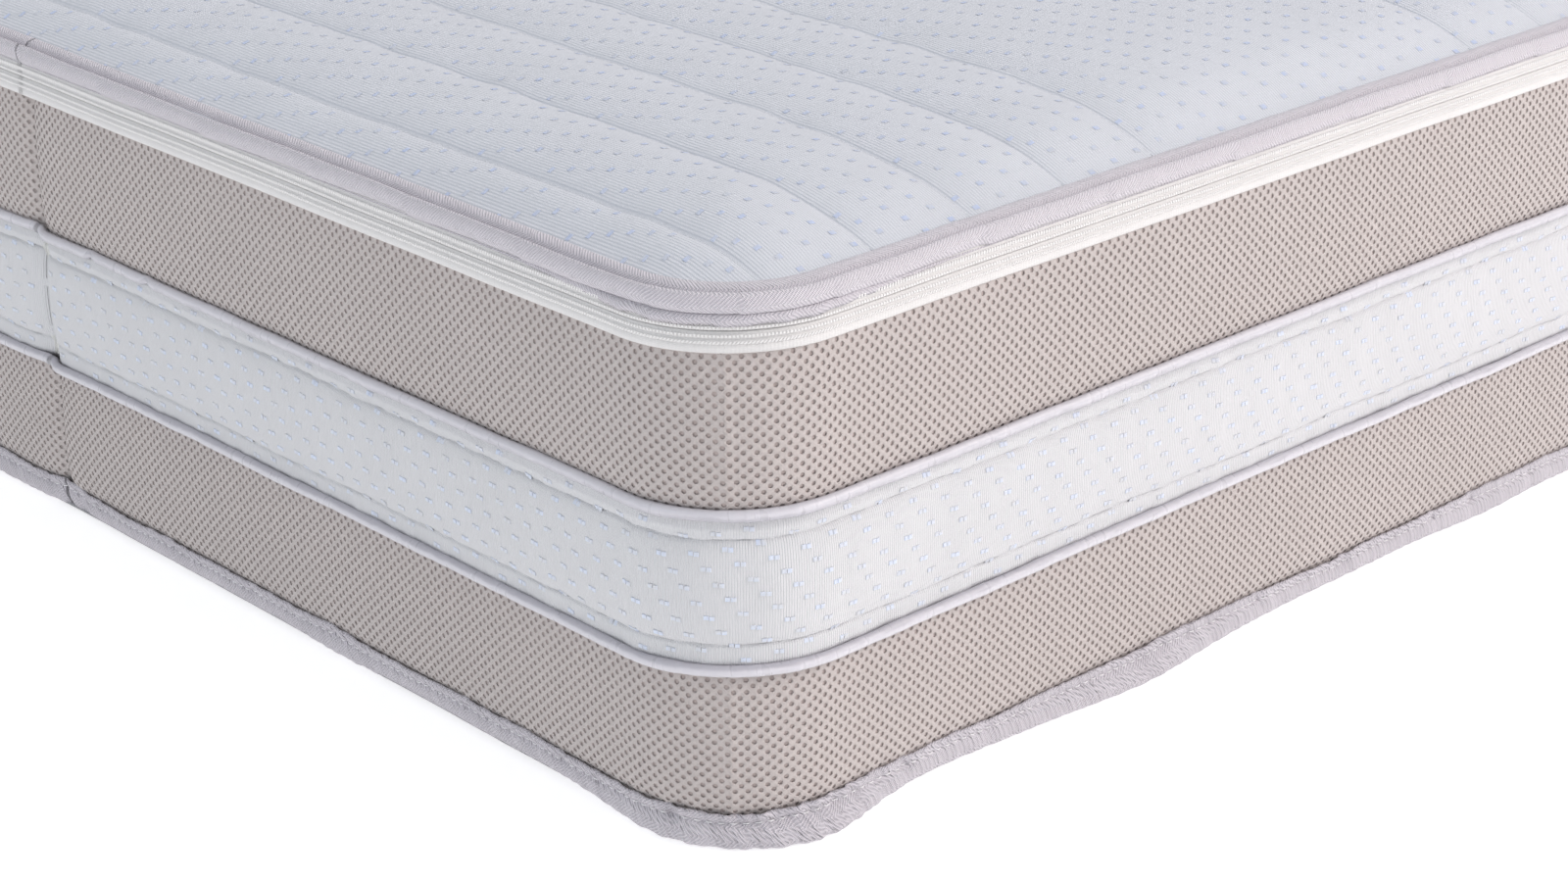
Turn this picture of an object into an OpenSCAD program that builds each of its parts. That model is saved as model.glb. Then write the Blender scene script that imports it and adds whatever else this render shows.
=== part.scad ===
// Pressure relief mattress: a layered foam core in a cover whose quilted top zips off.
// Origin at the middle of the underside, X across the width, Y along the length, Z up.

/* [Plan] */
// Width over the edge tapes
mattress_w = 900; // [800:10:1200]
// Length over the edge tapes
mattress_l = 2000; // [1800:10:2200]
// Radius of the side faces at the four corners
corner_r = 58; // [50:1:70]

/* [Side bands, from the floor up] */
// Height of the binding tape round the bottom edge
bottom_tape_h = 16; // [12:0.5:22]
// Height of the lower mesh band that shows
lower_mesh_h = 60.5; // [45:0.5:75]
// Diameter of both pipings
piping_d = 5; // [4:0.5:6]
// Height of the padded knit band that shows
middle_h = 62.5; // [45:0.5:80]
// Height of the upper mesh band that shows
upper_mesh_h = 65.5; // [50:0.5:80]
// Thickness of the side bands
band_t = 5; // [4:0.5:7]
// Thickness of the felt behind the side bands
felt_t = 4; // [3:0.5:4]

/* [Top cover] */
// Rise of the quilted panel from its edge to its middle
crown_rise = 22; // [10:1:30]
// Distance from the edge over which the panel rises
crown_run = 140; // [100:5:200]
// Distance of the first quilting row from the left side face
quilt_first = 36; // [20:1:50]
// Distance between quilting rows
quilt_pitch = 54.8; // [40:0.2:60]
// Quilting rows in one group
quilt_rows = 5; // [3:1:6]
// Row distances in the wide channel between two groups
quilt_skip = 4; // [2:1:6]
// Width of the edge tape's leg on the panel
tape_leg = 10; // [6:0.5:12]
// Radius of the edge tape's rolled outer part
roll_r = 4.4; // [4:0.1:4.8]

/* [Zip] */
// Height of the zip's middle line above the top of the upper mesh
zip_above_mesh = 7.5; // [7:0.5:10]
// Width of the slider over its flanges
slider_w = 10; // [10:0.5:12]
// Length of the slider
slider_l = 12; // [10:0.5:14]
// Length of the pull tab from its pin
pull_l = 32; // [24:1:38]
// Distance of the parked slider from the end of the straight run
park_in = 45; // [42:1:80]

/* [Foam core] */
// Width of the firm foam bolsters
bolster_w = 70; // [50:5:100]
// Thickness of the firm foam base
base_foam_h = 40; // [20:5:60]
// Thickness of the support foam
support_h = 90; // [60:5:100]
// Thickness of the castellated foam
relief_h = 60; // [50:5:80]
// Depth of the cuts between the castellations
cut_depth = 30; // [20:1:35]
// Width of the cuts between the castellations
cut_w = 8; // [5:1:12]
// Castellations across the width
cells_across = 10; // [6:1:12]
// Castellations along the length
cells_along = 25; // [16:1:28]

/* [Hidden] */
$fn = 96;

// Offsets are measured outwards from the side face, so what lies inside it is negative.
roll_o = 1.6;
tape_proud = roll_o + roll_r;
half_w = mattress_w / 2 - tape_proud;
half_l = mattress_l / 2 - tape_proud;

// Heights above the floor
base_t = 2.6;
tape_t = 1.2;
tape_under = 14;
tape_gap = 0.2;
lower_piping_z = bottom_tape_h + lower_mesh_h + piping_d / 2;
middle_z = lower_piping_z + piping_d / 2;
upper_piping_z = middle_z + middle_h + piping_d / 2;
upper_mesh_z = upper_piping_z + piping_d / 2;
upper_mesh_top = upper_mesh_z + upper_mesh_h;
zip_z = upper_mesh_top + zip_above_mesh;
zip_to_roll = 12.4;
roll_z = zip_z + zip_to_roll;
leg_t = 1;
leg_z = roll_z + roll_r - leg_t;
ticking_t = 1.5;
backing_t = 1;
backing_z = roll_z - 1;
core_gap = 0.4;
core_top = backing_z - core_gap;

// Depths of the layers in the side wall
seam_o = -2.2;
tail_t = 1;
piping_o = 0.5;
sleeve_t = 0.8;
cord_gap = 0.1;
zip_tape_o = -2;
zip_tape_t = 1;
zip_gap = 0.9;
zip_seam = 8.5;
coil_w = 3.1;
coil_t = 3;
liner_o = -(band_t + felt_t + 0.3);
liner_t = 1;
foam_o = liner_o - liner_t;
rim_o = zip_tape_o - zip_tape_t - 0.2;

// Foam layers, from the floor up
base_foam_z = base_t + liner_t;
support_z = base_foam_z + base_foam_h;
relief_z = support_z + support_h;
comfort_z = relief_z + relief_h;
comfort_top = core_top - liner_t;
inner_w = 2 * (half_w + foam_o - bolster_w);
inner_l = 2 * (half_l + foam_o - bolster_w);

// Quilting
crown_steps = 7;
groove_w = 2.4;
groove_d = 1;
thread_w = 0.8;
thread_lift = 0.6;

// Slider
clear = 0.3;
plate_t = 1.2;
park_y = half_l - corner_r - park_in;
bridge_h = 2.9;
pin_r = 0.7;
pin_o = 0.45;
coil_ends = [park_y - 8, park_y + 28];
stop_places = [park_y + 14, park_y + 25];
arm_l = 8.5;

// Outline of the mattress in plan at an offset from the side face
module plan(o) {
    r = corner_r + o;
    w = half_w + o;
    l = half_l + o;
    square([2 * (w - r), 2 * l], center = true);
    square([2 * w, 2 * (l - r)], center = true);
    for (sx = [-1, 1], sy = [-1, 1]) {
        translate([sx * (w - r), sy * (l - r)]) circle(r);
    }
}

module plate(o, z0, z1) {
    translate([0, 0, z0]) linear_extrude(z1 - z0) plan(o);
}

// Upright wall between two offsets
module wall(o_in, o_out, z0, z1) {
    translate([0, 0, z0]) linear_extrude(z1 - z0) difference() {
        plan(o_out);
        plan(o_in);
    }
}

// Carries a section, drawn as offset and height, round the whole perimeter
module round_perimeter() {
    sides = [[0, half_w, half_l], [90, half_l, half_w], [180, half_w, half_l], [270, half_l, half_w]];
    for (s = sides) {
        rotate([0, 0, s[0]]) {
            translate([s[1], 0, 0]) rotate([90, 0, 0]) {
                linear_extrude(2 * (s[2] - corner_r), center = true) children();
            }
            translate([s[1] - corner_r, s[2] - corner_r, 0]) {
                rotate_extrude(angle = 90) translate([corner_r, 0]) children();
            }
        }
    }
}

// Height of the panel at a distance inside its edge, on a quarter ellipse
function crown_z(d) = leg_z + crown_rise * sqrt(1 - pow(1 - min(d / crown_run, 1), 2));

// Section of the crowned panel, lowered by drop, over a half width
module crown_section(half, drop) {
    edge = half - tape_leg;
    rise = [for (i = [0:crown_steps]) crown_run * (1 - cos(90 * i / crown_steps))];
    points = [for (d = rise) [d - edge, crown_z(d) - drop]];
    back = [for (i = [crown_steps:-1:0]) [edge - rise[i], crown_z(rise[i]) - drop]];
    polygon(concat([[-edge, backing_z]], points, back, [[edge, backing_z]]));
}

// Crowned slab inside the edge tape's leg
module crown(drop) {
    intersection() {
        plate(-tape_leg, backing_z, leg_z + crown_rise + 1);
        rotate([90, 0, 0]) {
            linear_extrude(2 * half_l, center = true) crown_section(half_w, drop);
        }
        rotate([90, 0, 90]) {
            linear_extrude(2 * half_w, center = true) crown_section(half_l, drop);
        }
    }
}

// Upright strips along the quilting rows, in groups that repeat across the width
module quilt_strips(w) {
    last = floor(2 * (half_w - quilt_first) / quilt_pitch);
    repeat = quilt_rows - 1 + quilt_skip;
    strip_l = 2 * (half_l - crown_run);
    for (i = [0:last]) {
        if (i % repeat < quilt_rows) {
            translate([quilt_first + i * quilt_pitch - half_w - w / 2, -strip_l / 2, leg_z]) {
                cube([w, strip_l, crown_rise + 1]);
            }
        }
    }
}

module top_ticking() {
    color("aliceblue") difference() {
        union() {
            crown(0);
            plate(rim_o, backing_z, leg_z);
        }
        crown(ticking_t);
        plate(rim_o, backing_z, leg_z - ticking_t);
        difference() {
            quilt_strips(groove_w);
            crown(groove_d);
        }
    }
}

module top_quilting_thread() {
    color("white") intersection() {
        quilt_strips(thread_w);
        difference() {
            crown(groove_d - thread_lift);
            crown(groove_d);
        }
    }
}

module top_wadding() {
    color("ivory") difference() {
        union() {
            crown(ticking_t);
            plate(rim_o, backing_z, leg_z - ticking_t);
        }
        plate(rim_o, backing_z - 1, backing_z + backing_t);
    }
}

module top_backing() {
    color("white") plate(rim_o, backing_z, backing_z + backing_t);
}

// Binding that rolls round the panel's edge and the zip's upper tape
module top_edge_tape() {
    color("thistle") round_perimeter() {
        difference() {
            translate([roll_o, roll_z]) circle(roll_r);
            translate([roll_o, roll_z]) circle(roll_r - leg_t);
            translate([zip_tape_o - roll_r, leg_z - 2 * roll_r]) square([roll_r, 2 * roll_r]);
        }
        translate([-tape_leg, leg_z]) square([tape_leg + roll_o, leg_t]);
    }
}

module zip_upper_tape() {
    color("whitesmoke") wall(zip_tape_o - zip_tape_t, zip_tape_o, zip_z + zip_gap, leg_z - core_gap);
}

module zip_lower_tape() {
    color("whitesmoke") {
        wall(zip_tape_o - zip_tape_t, zip_tape_o, upper_mesh_top - zip_seam, zip_z - zip_gap);
    }
}

// One half of the closed chain, as a plain rib with a gap where the slider parks
module coil(z0) {
    o_out = zip_tape_o - zip_tape_t;
    difference() {
        wall(o_out - coil_t, o_out, z0, z0 + coil_w);
        translate([0, coil_ends[0], z0 - 1]) {
            cube([half_w, coil_ends[1] - coil_ends[0], coil_w + 2]);
        }
    }
}

module zip_upper_coil() {
    color("white") coil(zip_z + zip_gap);
}

module zip_lower_coil() {
    color("white") coil(zip_z - zip_gap - coil_w);
}

// Metal clip squeezed over a tape's edge, the tape lying above it
module stop_clip() {
    wing = 0.8;
    web = 0.5;
    clip_l = 3;
    clip_h = 2.6;
    translate([-zip_tape_t - wing, -clip_l / 2, 0]) difference() {
        translate([0, 0, -web]) cube([zip_tape_t + 2 * wing, clip_l, clip_h + web]);
        translate([wing, -1, 0]) cube([zip_tape_t, clip_l + 2, clip_h + 1]);
    }
}

module zip_upper_stops() {
    color("silver") for (y = stop_places) {
        translate([half_w + zip_tape_o, y, zip_z + zip_gap]) stop_clip();
    }
}

module zip_lower_stops() {
    color("silver") for (y = stop_places) {
        translate([half_w + zip_tape_o, y, zip_z - zip_gap]) mirror([0, 0, 1]) stop_clip();
    }
}

// Flat plate of the slider with rounded ends, standing upright
module slider_plate(o) {
    r = 3;
    translate([o, 0, 0]) rotate([90, 0, 90]) linear_extrude(plate_t) {
        square([slider_l - 2 * r, slider_w], center = true);
        square([slider_l, slider_w - 2 * r], center = true);
        for (sy = [-1, 1], sz = [-1, 1]) {
            translate([sy * (slider_l / 2 - r), sz * (slider_w / 2 - r)]) circle(r);
        }
    }
}

module zip_slider() {
    outer_o = zip_tape_o + clear;
    coil_in = zip_tape_o - zip_tape_t - coil_t;
    inner_o = coil_in - 0.5 - plate_t;
    lip_w = slider_w / 2 - zip_gap - coil_w - clear;
    lip_top = zip_tape_o - zip_tape_t - 0.5;
    bar_l = slider_l - 3;
    leg_l = 1.2;
    color("gainsboro") translate([half_w, park_y, zip_z]) {
        slider_plate(outer_o);
        slider_plate(inner_o);
        translate([inner_o, 2, -(zip_gap - clear)]) {
            cube([outer_o - inner_o + 0.1, 3, 2 * (zip_gap - clear)]);
        }
        for (sz = [-1, 1]) {
            translate([inner_o, -slider_l / 2 + 3, sz * (slider_w / 2 - lip_w / 2) - lip_w / 2]) {
                cube([lip_top - inner_o, slider_l - 6, lip_w]);
            }
        }
        translate([outer_o + plate_t + bridge_h - leg_l, -bar_l / 2, -1.2]) {
            cube([leg_l, bar_l, 2.4]);
        }
        for (sy = [-1, 1]) {
            translate([outer_o + plate_t - 0.1, sy * (bar_l / 2 - leg_l / 2) - leg_l / 2, -1.2]) {
                cube([bridge_h - leg_l + 0.2, leg_l, 2.4]);
            }
        }
    }
}

module zip_pull_tab() {
    arm_in = 1.6;
    arm_out = 2.6;
    tab_half = 4;
    tab_t = 1;
    tab_r = 3;
    hole_r = 1.6;
    hole_in = 5;
    eye_r = 0.85;
    arm_lap = 0.5;
    color("gainsboro") translate([half_w + pin_o, park_y, zip_z]) {
        cylinder(r = pin_r, h = 2 * arm_out, center = true);
        for (sz = [-1, 1]) {
            translate([0, 0, sz * (arm_in + arm_out) / 2]) {
                cylinder(r = eye_r, h = arm_out - arm_in, center = true);
                translate([-tab_t / 2, -arm_l, -(arm_out - arm_in) / 2]) {
                    cube([tab_t, arm_l, arm_out - arm_in]);
                }
            }
        }
        translate([-tab_t / 2, 0, 0]) rotate([90, 0, 90]) linear_extrude(tab_t) difference() {
            union() {
                translate([tab_r - pull_l, -tab_half]) {
                    square([pull_l - tab_r - arm_l + arm_lap, 2 * tab_half]);
                }
                translate([-pull_l, -tab_half + tab_r]) square([tab_r, 2 * (tab_half - tab_r)]);
                for (sz = [-1, 1]) {
                    translate([tab_r - pull_l, sz * (tab_half - tab_r)]) circle(tab_r);
                }
            }
            translate([hole_in - pull_l, 0]) circle(hole_r);
        }
    }
}

// Section of a side band, with seam allowances that reach behind a piping
module band_section(o_in, z0, z1, seam_below, seam_above) {
    reach = piping_d / 2 - tail_t / 2;
    translate([o_in, z0]) square([-o_in, z1 - z0]);
    translate([o_in, z0 - seam_below * reach]) {
        square([seam_o - o_in, z1 - z0 + (seam_below + seam_above) * reach]);
    }
}

module upper_mesh_band() {
    seam_z = upper_mesh_top - zip_seam;
    color("tan") round_perimeter() {
        band_section(-band_t, upper_mesh_z, seam_z, 1, 0);
        translate([zip_tape_o, seam_z]) square([-zip_tape_o, zip_seam]);
    }
}

module lower_mesh_band() {
    color("tan") round_perimeter() {
        band_section(-band_t, base_t, bottom_tape_h + lower_mesh_h, 0, 1);
    }
}

module middle_band_ticking() {
    color("aliceblue") wall(-ticking_t, 0, middle_z, middle_z + middle_h);
}

module middle_band_wadding() {
    color("ivory") round_perimeter() difference() {
        band_section(-band_t, middle_z, middle_z + middle_h, 1, 1);
        translate([-ticking_t, middle_z - 10]) square([ticking_t, middle_h + 20]);
    }
}

// Satin sleeve with its sewn tail between the bands
module piping_sleeve(z) {
    round_perimeter() difference() {
        union() {
            translate([piping_o, z]) circle(piping_d / 2);
            translate([-band_t, z - tail_t / 2]) square([band_t, tail_t]);
        }
        translate([piping_o, z]) circle(piping_d / 2 - sleeve_t);
    }
}

module piping_cord(z) {
    round_perimeter() translate([piping_o, z]) circle(piping_d / 2 - sleeve_t - cord_gap);
}

module upper_piping_sleeve() {
    color("lavender") piping_sleeve(upper_piping_z);
}

module upper_piping_cord() {
    color("white") piping_cord(upper_piping_z);
}

module lower_piping_sleeve() {
    color("lavender") piping_sleeve(lower_piping_z);
}

module lower_piping_cord() {
    color("white") piping_cord(lower_piping_z);
}

module side_felt() {
    color("gray") wall(-(band_t + felt_t), -band_t, base_t, upper_mesh_top - zip_seam - 1);
}

// Binding that wraps the bottom corner
module bottom_edge_tape() {
    color("thistle") round_perimeter() {
        square([tape_t, bottom_tape_h]);
        translate([-tape_under, 0]) square([tape_under + tape_t, tape_t]);
    }
}

module base_panel() {
    color("dimgray") {
        plate(-tape_under - tape_gap, 0, base_t);
        plate(0, tape_t, base_t);
    }
}

module inner_liner() {
    color("seashell") difference() {
        plate(liner_o, base_t, core_top);
        plate(foam_o, base_foam_z, comfort_top);
    }
}

module comfort_layer() {
    color("khaki") plate(foam_o, comfort_z, comfort_top);
}

module relief_layer() {
    floor_z = relief_z + relief_h - cut_depth;
    step_x = inner_w / cells_across;
    step_y = inner_l / cells_along;
    color("lightgreen") difference() {
        translate([-inner_w / 2, -inner_l / 2, relief_z]) cube([inner_w, inner_l, relief_h]);
        for (i = [1:cells_across - 1]) {
            translate([i * step_x - inner_w / 2 - cut_w / 2, -inner_l, floor_z]) {
                cube([cut_w, 2 * inner_l, relief_h]);
            }
        }
        for (i = [1:cells_along - 1]) {
            translate([-inner_w, i * step_y - inner_l / 2 - cut_w / 2, floor_z]) {
                cube([2 * inner_w, cut_w, relief_h]);
            }
        }
    }
}

module foam_block(z, h) {
    translate([-inner_w / 2, -inner_l / 2, z]) cube([inner_w, inner_l, h]);
}

module support_core() {
    color("lightblue") foam_block(support_z, support_h);
}

module base_foam() {
    color("lightgray") foam_block(base_foam_z, base_foam_h);
}

// Long bolster on the +X side
module side_bolster() {
    intersection() {
        plate(foam_o, base_foam_z, comfort_z);
        translate([inner_w / 2, -half_l, 0]) cube([bolster_w, 2 * half_l, comfort_z]);
    }
}

module side_bolster_left() {
    color("slategray") mirror([1, 0, 0]) side_bolster();
}

module side_bolster_right() {
    color("slategray") side_bolster();
}

// Short bolster on the +Y side, between the long ones
module end_bolster() {
    translate([-inner_w / 2, inner_l / 2, base_foam_z]) {
        cube([inner_w, bolster_w, comfort_z - base_foam_z]);
    }
}

module foot_bolster() {
    color("slategray") mirror([0, 1, 0]) end_bolster();
}

module head_bolster() {
    color("slategray") end_bolster();
}

top_ticking();
top_quilting_thread();
top_wadding();
top_backing();
top_edge_tape();
zip_upper_tape();
zip_upper_coil();
zip_upper_stops();
zip_lower_tape();
zip_lower_coil();
zip_lower_stops();
zip_slider();
zip_pull_tab();
upper_mesh_band();
upper_piping_sleeve();
upper_piping_cord();
middle_band_ticking();
middle_band_wadding();
lower_piping_sleeve();
lower_piping_cord();
lower_mesh_band();
side_felt();
bottom_edge_tape();
base_panel();
inner_liner();
comfort_layer();
relief_layer();
support_core();
base_foam();
side_bolster_left();
side_bolster_right();
foot_bolster();
head_bolster();
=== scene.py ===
"""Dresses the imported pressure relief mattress: cover, zip, bands, bindings and foam core."""

import math

import bmesh
import bpy
import numpy as np
from bpy.props import FloatProperty, FloatVectorProperty, IntProperty, PointerProperty
from mathutils import Matrix, Vector


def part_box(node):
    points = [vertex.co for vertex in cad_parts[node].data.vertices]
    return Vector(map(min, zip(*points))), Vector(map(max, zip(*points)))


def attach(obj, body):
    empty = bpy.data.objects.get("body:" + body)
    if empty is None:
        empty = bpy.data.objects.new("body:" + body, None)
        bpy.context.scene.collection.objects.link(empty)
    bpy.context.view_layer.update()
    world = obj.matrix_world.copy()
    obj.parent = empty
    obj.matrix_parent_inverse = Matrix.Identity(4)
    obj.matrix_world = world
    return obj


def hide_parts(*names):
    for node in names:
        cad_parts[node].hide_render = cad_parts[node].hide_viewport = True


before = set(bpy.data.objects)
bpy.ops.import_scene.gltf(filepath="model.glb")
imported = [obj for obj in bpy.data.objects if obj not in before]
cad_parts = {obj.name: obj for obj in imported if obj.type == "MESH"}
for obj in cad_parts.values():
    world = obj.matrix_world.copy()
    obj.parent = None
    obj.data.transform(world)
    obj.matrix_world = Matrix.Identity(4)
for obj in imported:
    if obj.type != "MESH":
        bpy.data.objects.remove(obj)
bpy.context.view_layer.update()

bl_info = {
    "name": "Pressure relief mattress",
    "version": (1, 0, 0),
    "blender": (4, 5, 0),
    "location": "View3D > Sidebar > Mattress",
    "description": "Builds the cover, zip, bindings and foam core round the packed frame",
    "category": "Object",
}

MM = 0.001
REST_BODY = "mattress"
LID_BODY = "top_cover"
CLOTH_MAP = "Cloth"

# rings round the mattress, as many as each piece's finest fold needs
SPACER_RINGS = 1200
PAD_RINGS = 1380
PIPING_RINGS = 2600
BOTTOM_RINGS = 3600
ZIP_RINGS = 1500
EDGE_RINGS = 3000
LAYER_RINGS = 900
STITCH_HALF = 1.75 * MM

side_low, side_high = (np.array(c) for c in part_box("middle_band_ticking"))


# ---------------------------------------------------------------- sizes and colours


def size(name, default_mm, about):
    """A length property, given in millimetres and kept in metres."""
    return FloatProperty(
        name=name,
        description=about,
        default=default_mm * MM,
        min=0.0,
        max=3.0,
        subtype="DISTANCE",
        unit="LENGTH",
    )


def tint(name, colour, about):
    """A colour property in linear values."""
    return FloatVectorProperty(
        name=name,
        description=about,
        default=colour,
        min=0.0,
        max=1.0,
        size=3,
        subtype="COLOR",
    )


class CoverSizes(bpy.types.PropertyGroup):
    """Sizes of the sewn cover."""

    corner_radius: size("Corner radius", 58, "Radius of the side faces at the corners")
    join_place: size("Join place", 489, "Distance of the border's join from the foot corner")
    join_depth: size("Join depth", 5.0, "How far the bands pull in at the border's join")
    hole_pitch: size("Hole pitch", 5.2, "Distance between the mesh's holes in a row")
    hole_rows: size("Hole rows", 2.45, "Distance between the mesh's rows of holes")
    hole_width: size("Hole width", 2.3, "Width of the mesh's holes")
    mesh_depth: size("Mesh depth", 0.7, "Depth of the spacer mesh behind its holes")
    puff: size("Puff", 3.4, "Rise of a quilted channel between its stitch lines")
    wide_puff: size("Wide puff", 5.0, "Rise of the wide quilted channel")
    crown: size("Crown", 18.0, "Rise of the panel from its binding to its middle")
    crown_reach: size("Crown reach", 36, "How soon the panel reaches its full height")
    quilt_first: size("First row", 36, "First quilting row from the left side face")
    quilt_pitch: size("Row pitch", 54.8, "Distance between quilting rows")
    quilt_rows: IntProperty(
        name="Rows", description="Quilting rows in a group", default=5, min=2, max=6
    )
    quilt_skip: IntProperty(
        name="Skipped rows",
        description="Row distances in the wide channel",
        default=4,
        min=1,
        max=6,
    )
    stitch: size("Stitch", 5.0, "Length of one binding stitch with its gap")
    tooth_pitch: size("Tooth pitch", 1.5, "Distance between the zip's teeth")
    fold_pitch: size("Fold pitch", 75, "Distance between the edge binding's folds")


class CoverColours(bpy.types.PropertyGroup):
    """Colours of the cloths and foams."""

    panel: tint("Panel", (0.64, 0.655, 0.705), "Ground of the quilted top panel")
    panel_motif: tint("Panel motif", (0.54, 0.62, 0.85), "Dots of the top panel")
    band: tint("Band", (0.73, 0.725, 0.745), "Ground of the padded side band")
    band_motif: tint("Band motif", (0.74, 0.81, 0.98), "Dots of the side band")
    binding: tint("Binding", (0.80, 0.76, 0.81), "Binding tapes")
    # painted shade: the darker colour given to the twill's hollows
    binding_shade: tint("Binding shade", (0.40, 0.365, 0.41), "Hollows of the binding's twill")
    mesh_yarn: tint("Mesh yarn", (0.69, 0.62, 0.60), "Face yarn of the spacer mesh")
    mesh_back: tint("Mesh back", (0.60, 0.51, 0.49), "Inner layer of the spacer mesh")
    # painted light: each piping's satin is coloured in two tones, a painted shade for the side of the cord
    # turned from the light and a painted highlight for the side that faces it
    piping: tint("Piping", (0.47, 0.45, 0.50), "Shaded side of the satin pipings")
    piping_painted_highlight: tint("Piping light", (0.64, 0.62, 0.67), "Bright side of the satin pipings")
    zip_cloth: tint("Zip cloth", (0.76, 0.74, 0.735), "Zip tapes")
    zip_teeth: tint("Zip teeth", (0.83, 0.815, 0.81), "Zip teeth and their sewing")
    thread: tint("Thread", (0.74, 0.75, 0.80), "Sewing threads")
    metal: tint("Metal", (0.78, 0.79, 0.80), "Lacquered zip slider, pull and stops")
    fleece: tint("Fleece", (0.74, 0.74, 0.75), "Backing of the quilted panel")
    felt: tint("Felt", (0.30, 0.26, 0.235), "Felt behind the bands")
    base: tint("Base cloth", (0.36, 0.355, 0.37), "Cloth of the underside")
    liner: tint("Liner", (0.80, 0.785, 0.75), "Knit liner round the foam")
    comfort: tint("Comfort foam", (0.80, 0.74, 0.55), "Slow-recovery foam")
    relief: tint("Relief foam", (0.50, 0.68, 0.58), "Castellated foam")
    support: tint("Support foam", (0.50, 0.60, 0.76), "Support foam")
    firm: tint("Firm foam", (0.42, 0.43, 0.45), "Base and bolster foam")


def sizes():
    """The cover's sizes as set in the panel."""
    return bpy.context.scene.cover_sizes


def colours():
    """The cover's colours as set in the panel."""
    return bpy.context.scene.cover_colours


# ---------------------------------------------------------------- shapes


class SideLine:
    """The plan line of the side faces, measured from the border's join towards the foot."""

    def __init__(self):
        hw, hl = side_high[0], side_high[1]
        r = sizes().corner_radius
        join = sizes().join_place
        quarter = r * math.pi / 2
        self.radius = r
        self.parts = [
            ("line", join - r, (-hw, join - hl), (0, -1)),
            ("arc", quarter, (r - hw, r - hl), math.pi),
            ("line", 2 * (hw - r), (r - hw, -hl), (1, 0)),
            ("arc", quarter, (hw - r, r - hl), 1.5 * math.pi),
            ("line", 2 * (hl - r), (hw, r - hl), (0, 1)),
            ("arc", quarter, (hw - r, hl - r), 0),
            ("line", 2 * (hw - r), (hw - r, hl), (-1, 0)),
            ("arc", quarter, (r - hw, hl - r), math.pi / 2),
            ("line", 2 * hl - r - join, (-hw, hl - r), (0, -1)),
        ]
        self.length = sum(p[1] for p in self.parts)
        self.first_turn = join - r + quarter / 2

    def at(self, s):
        """Point and outward direction at each distance."""
        s = np.mod(s, self.length)
        out = np.zeros(s.shape + (4,))
        start = 0.0
        for kind, length, origin, way in self.parts:
            m = (s >= start) & (s < start + length + 1e-12)
            t = s[m] - start
            if kind == "line":
                out[m, 0], out[m, 1] = origin[0] + way[0] * t, origin[1] + way[1] * t
                out[m, 2], out[m, 3] = way[1], -way[0]
            else:
                a = way + t / self.radius
                out[m, 2], out[m, 3] = np.cos(a), np.sin(a)
                out[m, 0] = origin[0] + self.radius * out[m, 2]
                out[m, 1] = origin[1] + self.radius * out[m, 3]
            start += length
        return out[..., :2], out[..., 2:]

    def place(self, s, o, z):
        """Points at distance s, set out by o from the side face, at height z."""
        s, o, z = np.broadcast_arrays(s, o, z)
        point, out = self.at(s)
        return np.concatenate([point + out * o[..., None], z[..., None]], -1)

    def apart(self, s, where=0.0):
        """How far each distance lies from a place, the shorter way round."""
        d = np.abs(np.mod(s - where, self.length))
        return np.minimum(d, self.length - d)

    def near(self, s, place, width, power=2):
        """1 at a place, falling away over a width to both sides of it."""
        return np.exp(-((self.apart(s, place) / width) ** power))

    def rings(self, count, joined=True):
        """Distances of a piece's rings, all the way round or from join to join."""
        if joined:
            return np.arange(count) * self.length / count
        s = np.arange(count) * self.length / (count - 1)
        s[-1] -= 1e-6
        return s


def wander(s, length, seed, longest, shortest, waves=7):
    """A smooth wandering value near -1 to 1 that closes on itself over length."""
    r = np.random.default_rng(seed)
    total = np.zeros_like(s, dtype=float)
    for w in np.geomspace(longest, shortest, waves):
        turns = max(1, round(length / w * r.uniform(0.85, 1.15)))
        total += np.sin(2 * np.pi * (turns * s / length + r.random())) * (w / longest) ** 0.35
    return total / math.sqrt(waves)


def patches(x, y, seed, scale):
    """A smooth wandering value over a plane."""
    waves = 9
    r = np.random.default_rng(seed)
    total = np.zeros(np.broadcast(x, y).shape)
    for _ in range(waves):
        a, k = r.uniform(0, 2 * np.pi), 2 * np.pi / (scale * r.uniform(0.6, 1.8))
        total += np.sin(k * (x * np.cos(a) + y * np.sin(a)) + r.uniform(0, 2 * np.pi))
    return total / math.sqrt(waves)


def smooth_step(x, low, high):
    """0 below low and 1 above high, with a soft rise between them."""
    t = np.clip((x - low) / (high - low), 0, 1)
    return t * t * (3 - 2 * t)


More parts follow.
